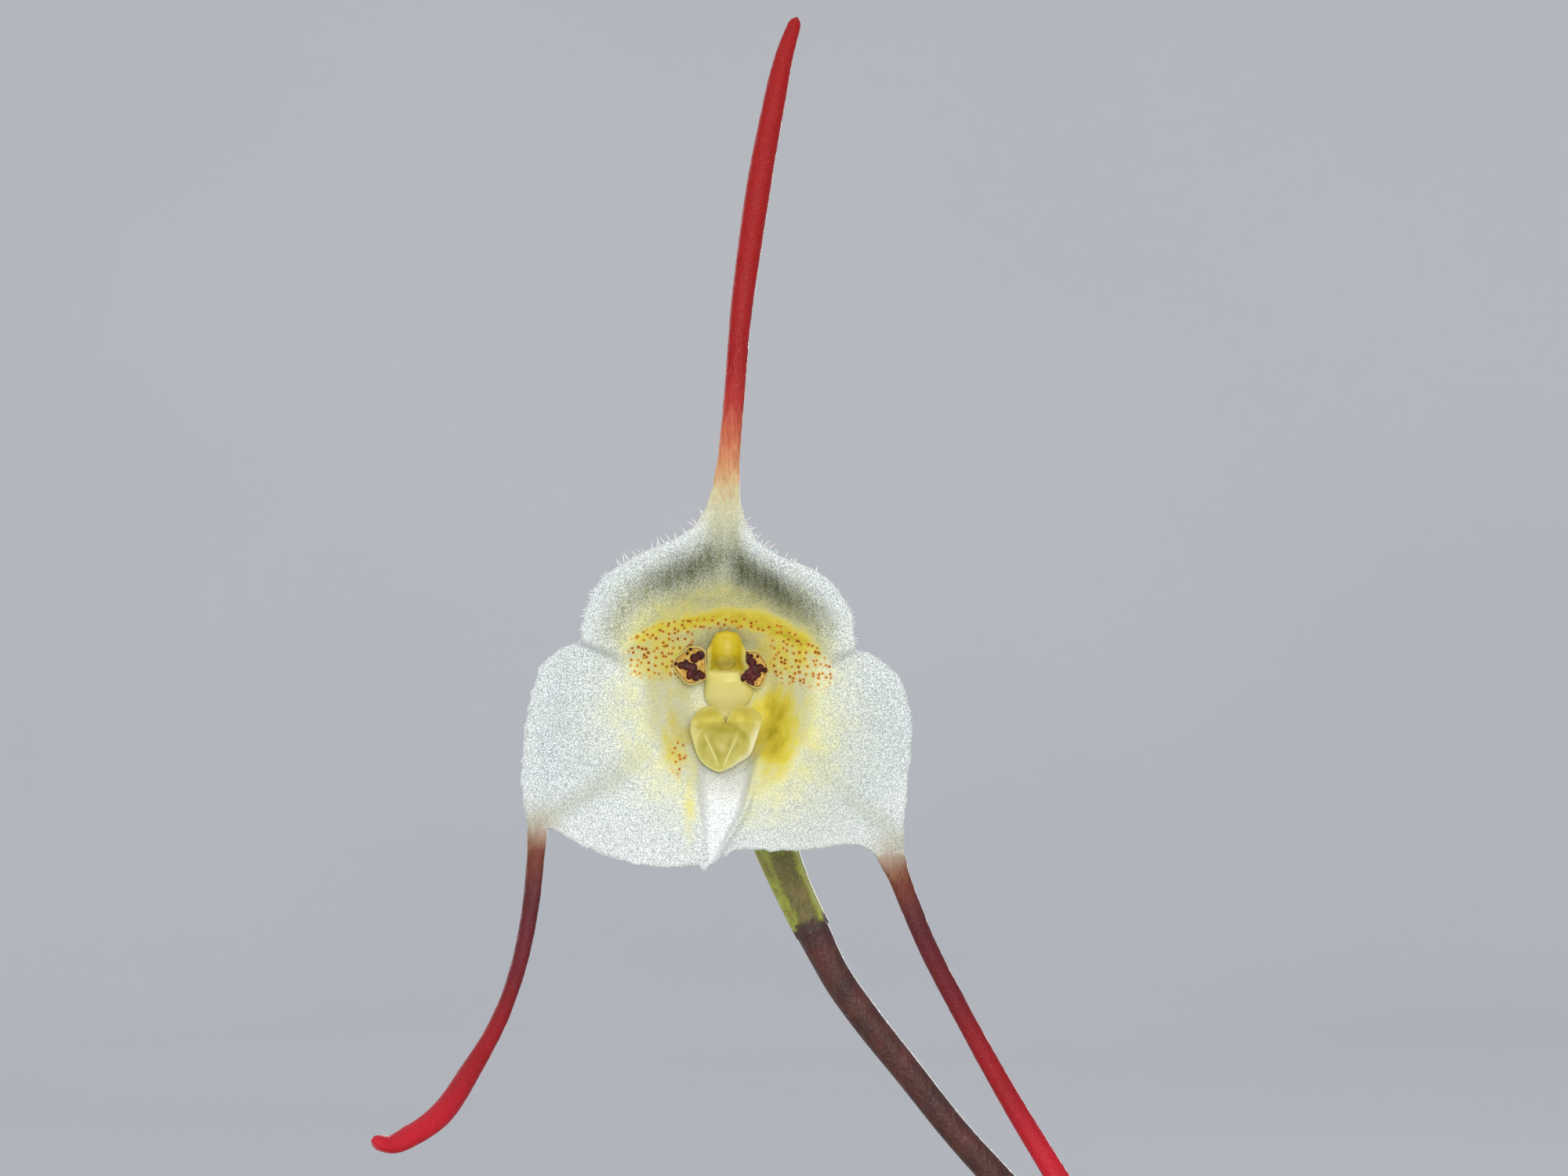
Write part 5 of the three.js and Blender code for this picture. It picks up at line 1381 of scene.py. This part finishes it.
# %% [markdown]
# ## Pot
# The pot is plain thrown and fired clay with a thick rim band and three holes in its floor. A thrown pot is
# its profile turned about an axis, so a rule turns a measured profile: it lays a grid, reads
# each row's radius and height from the profile, winds the grid round, closes the seam and the poles, and
# cuts the holes. Faint throwing rings and a slight wobble come from sums on the radius.

# %% Turn the pot
POT_LOW, POT_HIGH = (np.array(corner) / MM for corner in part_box("pot"))
POT_TOP = POT_HIGH[2]
POT_RADIUS = (POT_HIGH[0] - POT_LOW[0]) / 2
# The foot, then the band and the rim by their distances below the pot's radius and top, then the inside
POT_FOOT = [(0, 0), (27, 0), (28.9, 0.15), (29.7, 0.7), (30.1, 1.6)]
POT_BAND = [(3.45, 16.4), (3.1, 16.05), (1.5, 15.6), (0.85, 15.0), (0.6, 14), (0.1, 2.2), (0.15, 1.2),
            (0.7, 0.4), (1.6, 0.05), (2.8, 0), (3.8, 0.3), (4.5, 1.2)]
POT_INSIDE = [(36.5, 64), (25.8, 6), (0, 6)]
PROFILE_STEP = 2.2
HOLE_RADIUS, HOLE_AWAY = 4.5, 15


def pot_profile():
    """The profile from the middle of the foot, over the rim and down to the middle of the floor."""
    band = [(POT_RADIUS - inwards, POT_TOP - down) for inwards, down in POT_BAND]
    corners, rows = [*POT_FOOT, *band, *POT_INSIDE], []
    for (radius, z), (next_radius, next_z) in zip(corners, corners[1:]):
        count = max(1, round(math.hypot(next_radius - radius, next_z - z) / PROFILE_STEP))
        rows += [(radius + (next_radius - radius) * s, 0.0, z + (next_z - z) * s)
                 for s in np.arange(count) / count]
    return np.array([*rows, (corners[-1][0], 0.0, corners[-1][1])])


def turning_rule(skin):
    rule = Rule("turned clay", Rows=10, Turns=160, Holes=3, Throwing=0.0, Wobble=0.0)
    rows, turns = rule.given["Rows"], rule.given["Turns"]
    grid = rule.step("MeshGrid", Vertices_X=turns, Vertices_Y=rows)
    index = rule.step("InputIndex")
    angle = (index / rows).math("FLOOR") / (turns - 1) * (2 * math.pi)
    east, north = angle.math("COSINE"), angle.math("SINE")
    point = rule.step("SampleIndex", {"data_type": "FLOAT_VECTOR", "domain": "POINT"},
                      Geometry=rule.given["Geometry"], Value=rule.step("InputPosition"),
                      Index=index.math("MODULO", rows))
    radius, height = rule.axis(point, "X"), rule.axis(point, "Z")
    around = rule.vector(east * 1.5, north * 1.5, height / MM * 0.05)
    ring = (height / MM * 1.5 + rule.noise(1.0, 2.0, place=around) * 3).math("SINE") * rule.given["Throwing"]
    wobble = (rule.noise(0.8, 1.0, place=around) - 0.5) * rule.given["Wobble"]
    outer = (radius / MM).ease(POT_RADIUS - 14.4, POT_RADIUS - 13.4) * (height / MM).ease(1.5, 5.0)
    bent = radius + (ring + wobble) * outer
    wound = rule.step("SetPosition", Geometry=grid, Position=rule.vector(bent * east, bent * north, height))
    closed = rule.step("MergeByDistance", Geometry=wound, Distance=0.005 * MM)
    spots = rule.step("MeshCircle", Vertices=rule.given["Holes"], Radius=HOLE_AWAY * MM)
    drill = rule.step("MeshCylinder", Vertices=40, Radius=HOLE_RADIUS * MM, Depth=30 * MM)
    drills = rule.step("InstanceOnPoints", Points=spots, Instance=drill)
    turned = rule.step("Transform", Geometry=drills, Rotation=(0.0, 0.0, math.radians(-30)))
    real = rule.step("RealizeInstances", Geometry=turned)
    drilled = rule.step("MeshBoolean", {"operation": "DIFFERENCE", "solver": "EXACT"},
                        Mesh_1=closed, Mesh_2=real)
    return rule.close(drilled, skin)


@finish("fired clay")
def clay(nodes):
    height = nodes.axis(nodes.millimetres(), "Z")
    cloud = nodes.cloud(0.035, 4.0, 0.6)
    grain = nodes.noise(1.4, 5.0, 0.65)
    spot = nodes.noise(0.16, 5.0, 0.7)
    grog = 1 - nodes.cells(0.9).ease(0.08, 0.16)
    damp = 1 - (height + spot * 14.0).ease(20.0, 66.0)
    lime = spot.ease(0.5, 0.68) * ((height + cloud * 8.0).ease(38.0, 62.0) * 0.75 + 0.15)
    algae = nodes.cloud(0.09, 5.0, 0.7, 0.54, 0.68) * (1 - height.ease(58.0, 70.0) * 0.7)
    rim = height.ease(77.0, 79.5) * grain.ease(0.4, 0.6)
    colour = nodes.coats(nodes.mix(cloud, (176, 98, 66), (196, 120, 84)),
                         (grain.ease(0.35, 0.65) * 0.35, (150, 80, 54)), (grog * 0.45, (222, 178, 142)),
                         (damp * 0.4, (126, 70, 48)), (lime * 0.75, (222, 208, 192)),
                         (algae * 0.5, (92, 98, 54)), (rim * 0.45, (216, 156, 120)))
    return dict(colour=colour, roughness=0.78 + grain * 0.16,
                normal=nodes.relief(grain * 0.8 + nodes.noise(6.0, 2.0) * 0.3, 0.3))


profile = pot_profile()
pot = grow("turned_pot", line_source("pot profile", profile), turning_rule(clay), Rows=len(profile),
           Turns=181, Holes=3, Throwing=0.09 * MM, Wobble=0.7 * MM)
hand_over(pot, clay, "clay", "pot")

# %% [markdown]
# ## Moss
# Bog moss fills the pot to about a centimetre below its rim and swells a little in the middle. Its surface
# is a crowd of star-shaped heads, each a tuft of short pointed branches round a bud, in green, straw and a
# few reddish ones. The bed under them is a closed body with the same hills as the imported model. A rule
# scatters the heads over its top at a fixed least distance, and turns and tilts each at random.

# %% Bed of the moss
MOSS_TOP = 70
MOSS_RINGS, MOSS_SIDES = 44, 120


def pot_inside(z):
    return np.interp(z, [6, 64, POT_TOP - 1.2], [25.8, 36.5, POT_RADIUS - 4.5])


def moss_height(x, y):
    share = np.minimum(1, np.hypot(x, y) / pot_inside(MOSS_TOP))
    hills = (0.55 * np.sin(0.42 * x + 1.3) * np.sin(0.5 * y + 0.4) + 0.35 * np.sin(0.9 * x - 0.6 * y)
             + 0.3 * np.sin(0.8 * y + 0.9 * x + 2))
    return MOSS_TOP + 5.5 * (1 - share**2) + hills * (1 - share**6)


def moss_bed():
    reach = np.linspace(0.01, 0.995, MOSS_RINGS)[:, None] * (pot_inside(MOSS_TOP) - 0.15)
    wall = np.array([68.0, 60.0, 45.0, 30.0, 15.0, 6.8, 6.4])[:, None]
    reach = np.concatenate([reach, pot_inside(wall) - np.where(wall > 6.6, 0.25, 1.0)])
    turns = round_angles(MOSS_SIDES)
    x, y = reach * np.cos(turns), reach * np.sin(turns)
    z = moss_height(x, y) - 0.5
    z[MOSS_RINGS:] = wall
    return mesh_piece("moss_bed", np.stack([x, y, z], axis=-1))


@finish("bog moss")
def moss_skin(nodes):
    fine = nodes.cloud(1.5, 4.0, 0.6)
    patch = nodes.noise(0.075, 3.0, 0.6).ramp((0.3, 84, 96, 34), (0.44, 126, 140, 52), (0.54, 164, 168, 78),
                                              (0.64, 190, 178, 104), (0.74, 150, 92, 60))
    colour = nodes.coats(patch, (fine * 0.4, (208, 206, 134)),
                         (nodes.cloud(0.6, low=0.5) * 0.5, (74, 70, 34)))
    return dict(colour=colour, roughness=0.7 + fine * 0.2, normal=nodes.relief(fine, 0.25), scatter=0.2,
                depth=0.6 * MM, sheen=0.3)


bed = moss_bed()
hand_over(bed, moss_skin, "moss", "moss")

# %% Star-shaped heads over the bed
# Each tier of a head: its branches, how far out and up they lean, their length and their width
STAR_TIERS = ((7, 0.35, 0.12, 1.5, 0.34), (5, 0.14, 0.2, 1.15, 0.3))
HEAD_SPACING, HEAD_LOW, HEAD_HIGH = 1.9, 0.75, 1.35


def star_tier(rule, branches, reach, rise, length, width):
    """A ring of pointed three-sided branches that lean outwards."""
    ring = rule.step("MeshCircle", Vertices=branches, Radius=reach * MM)
    lean = rule.vectors("ADD", rule.step("InputPosition"), (0.0, 0.0, rise * MM))
    branch = rule.step("MeshCone", {"fill_type": "NGON"}, Vertices=3, Side_Segments=2, Radius_Top=0.02 * MM,
                       Radius_Bottom=width * MM, Depth=length * MM)
    return rule.step("InstanceOnPoints", Points=ring, Instance=branch, Rotation=rule.aim(lean))


def heads_rule(skin):
    rule = Rule("moss heads", Spacing=0.002, Low=0.7, High=1.3, Floor=0.0, Seed=1)
    given = rule.given
    up = rule.axis(rule.step("InputNormal"), "Z")
    height = rule.axis(rule.step("InputPosition"), "Z")
    on_top = up.ease(0.4, 0.41) * height.ease(given["Floor"], given["Floor"] + 0.1 * MM)
    points = rule.step("DistributePointsOnFaces", {"distribute_method": "POISSON"}, Mesh=given["Geometry"],
                       Distance_Min=given["Spacing"], Density_Max=900000.0, Density_Factor=on_top,
                       Seed=given["Seed"])
    star = rule.step("JoinGeometry")
    for tier in [star_tier(rule, *sizes) for sizes in STAR_TIERS]:
        rule.tree.links.new(tier.output, star.output.node.inputs[0])
    copies = rule.step("InstanceOnPoints", Points=points, Instance=star,
                       Rotation=rule.random((-0.35, -0.35, 0.0), (0.35, 0.35, 6.28)),
                       Scale=rule.random(given["Low"], given["High"]))
    return rule.close(copies, skin)


heads = grow("moss_heads", put("bed copy", bed.data.copy()), heads_rule(moss_skin), Spacing=HEAD_SPACING * MM,
             Low=HEAD_LOW, High=HEAD_HIGH, Floor=(MOSS_TOP - 1.2) * MM, Seed=SEED)
hand_over(heads, moss_skin, "moss")

# %% [markdown]
# ## Rhizome
# Below the moss the stems are joined by a creeping rhizome with corky roots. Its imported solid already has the
# right shape, so it stays and only gets a finish: fawn cork with darker rings.

# %% Finish of the rhizome
@finish("root cork")
def cork(nodes):
    fine = nodes.cloud(1.6, 4.0, 0.65)
    ring = nodes.cloud(1.2, low=0.42, high=0.6, place=nodes.millimetres(2.2, 0.5, 0.5))
    colour = nodes.mix(ring * 0.6, nodes.mix(fine, (128, 100, 66), (166, 138, 96)), (82, 60, 42))
    return dict(colour=colour, roughness=0.7 + fine * 0.2, normal=nodes.relief(fine + ring, 0.15))


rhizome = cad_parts["rhizome"]
if not rhizome.material_slots:
    rhizome.data.materials.append(None)
for place in rhizome.material_slots:
    place.link = "OBJECT"
    place.material = cork
print("rhizome slots:", len(rhizome.material_slots))
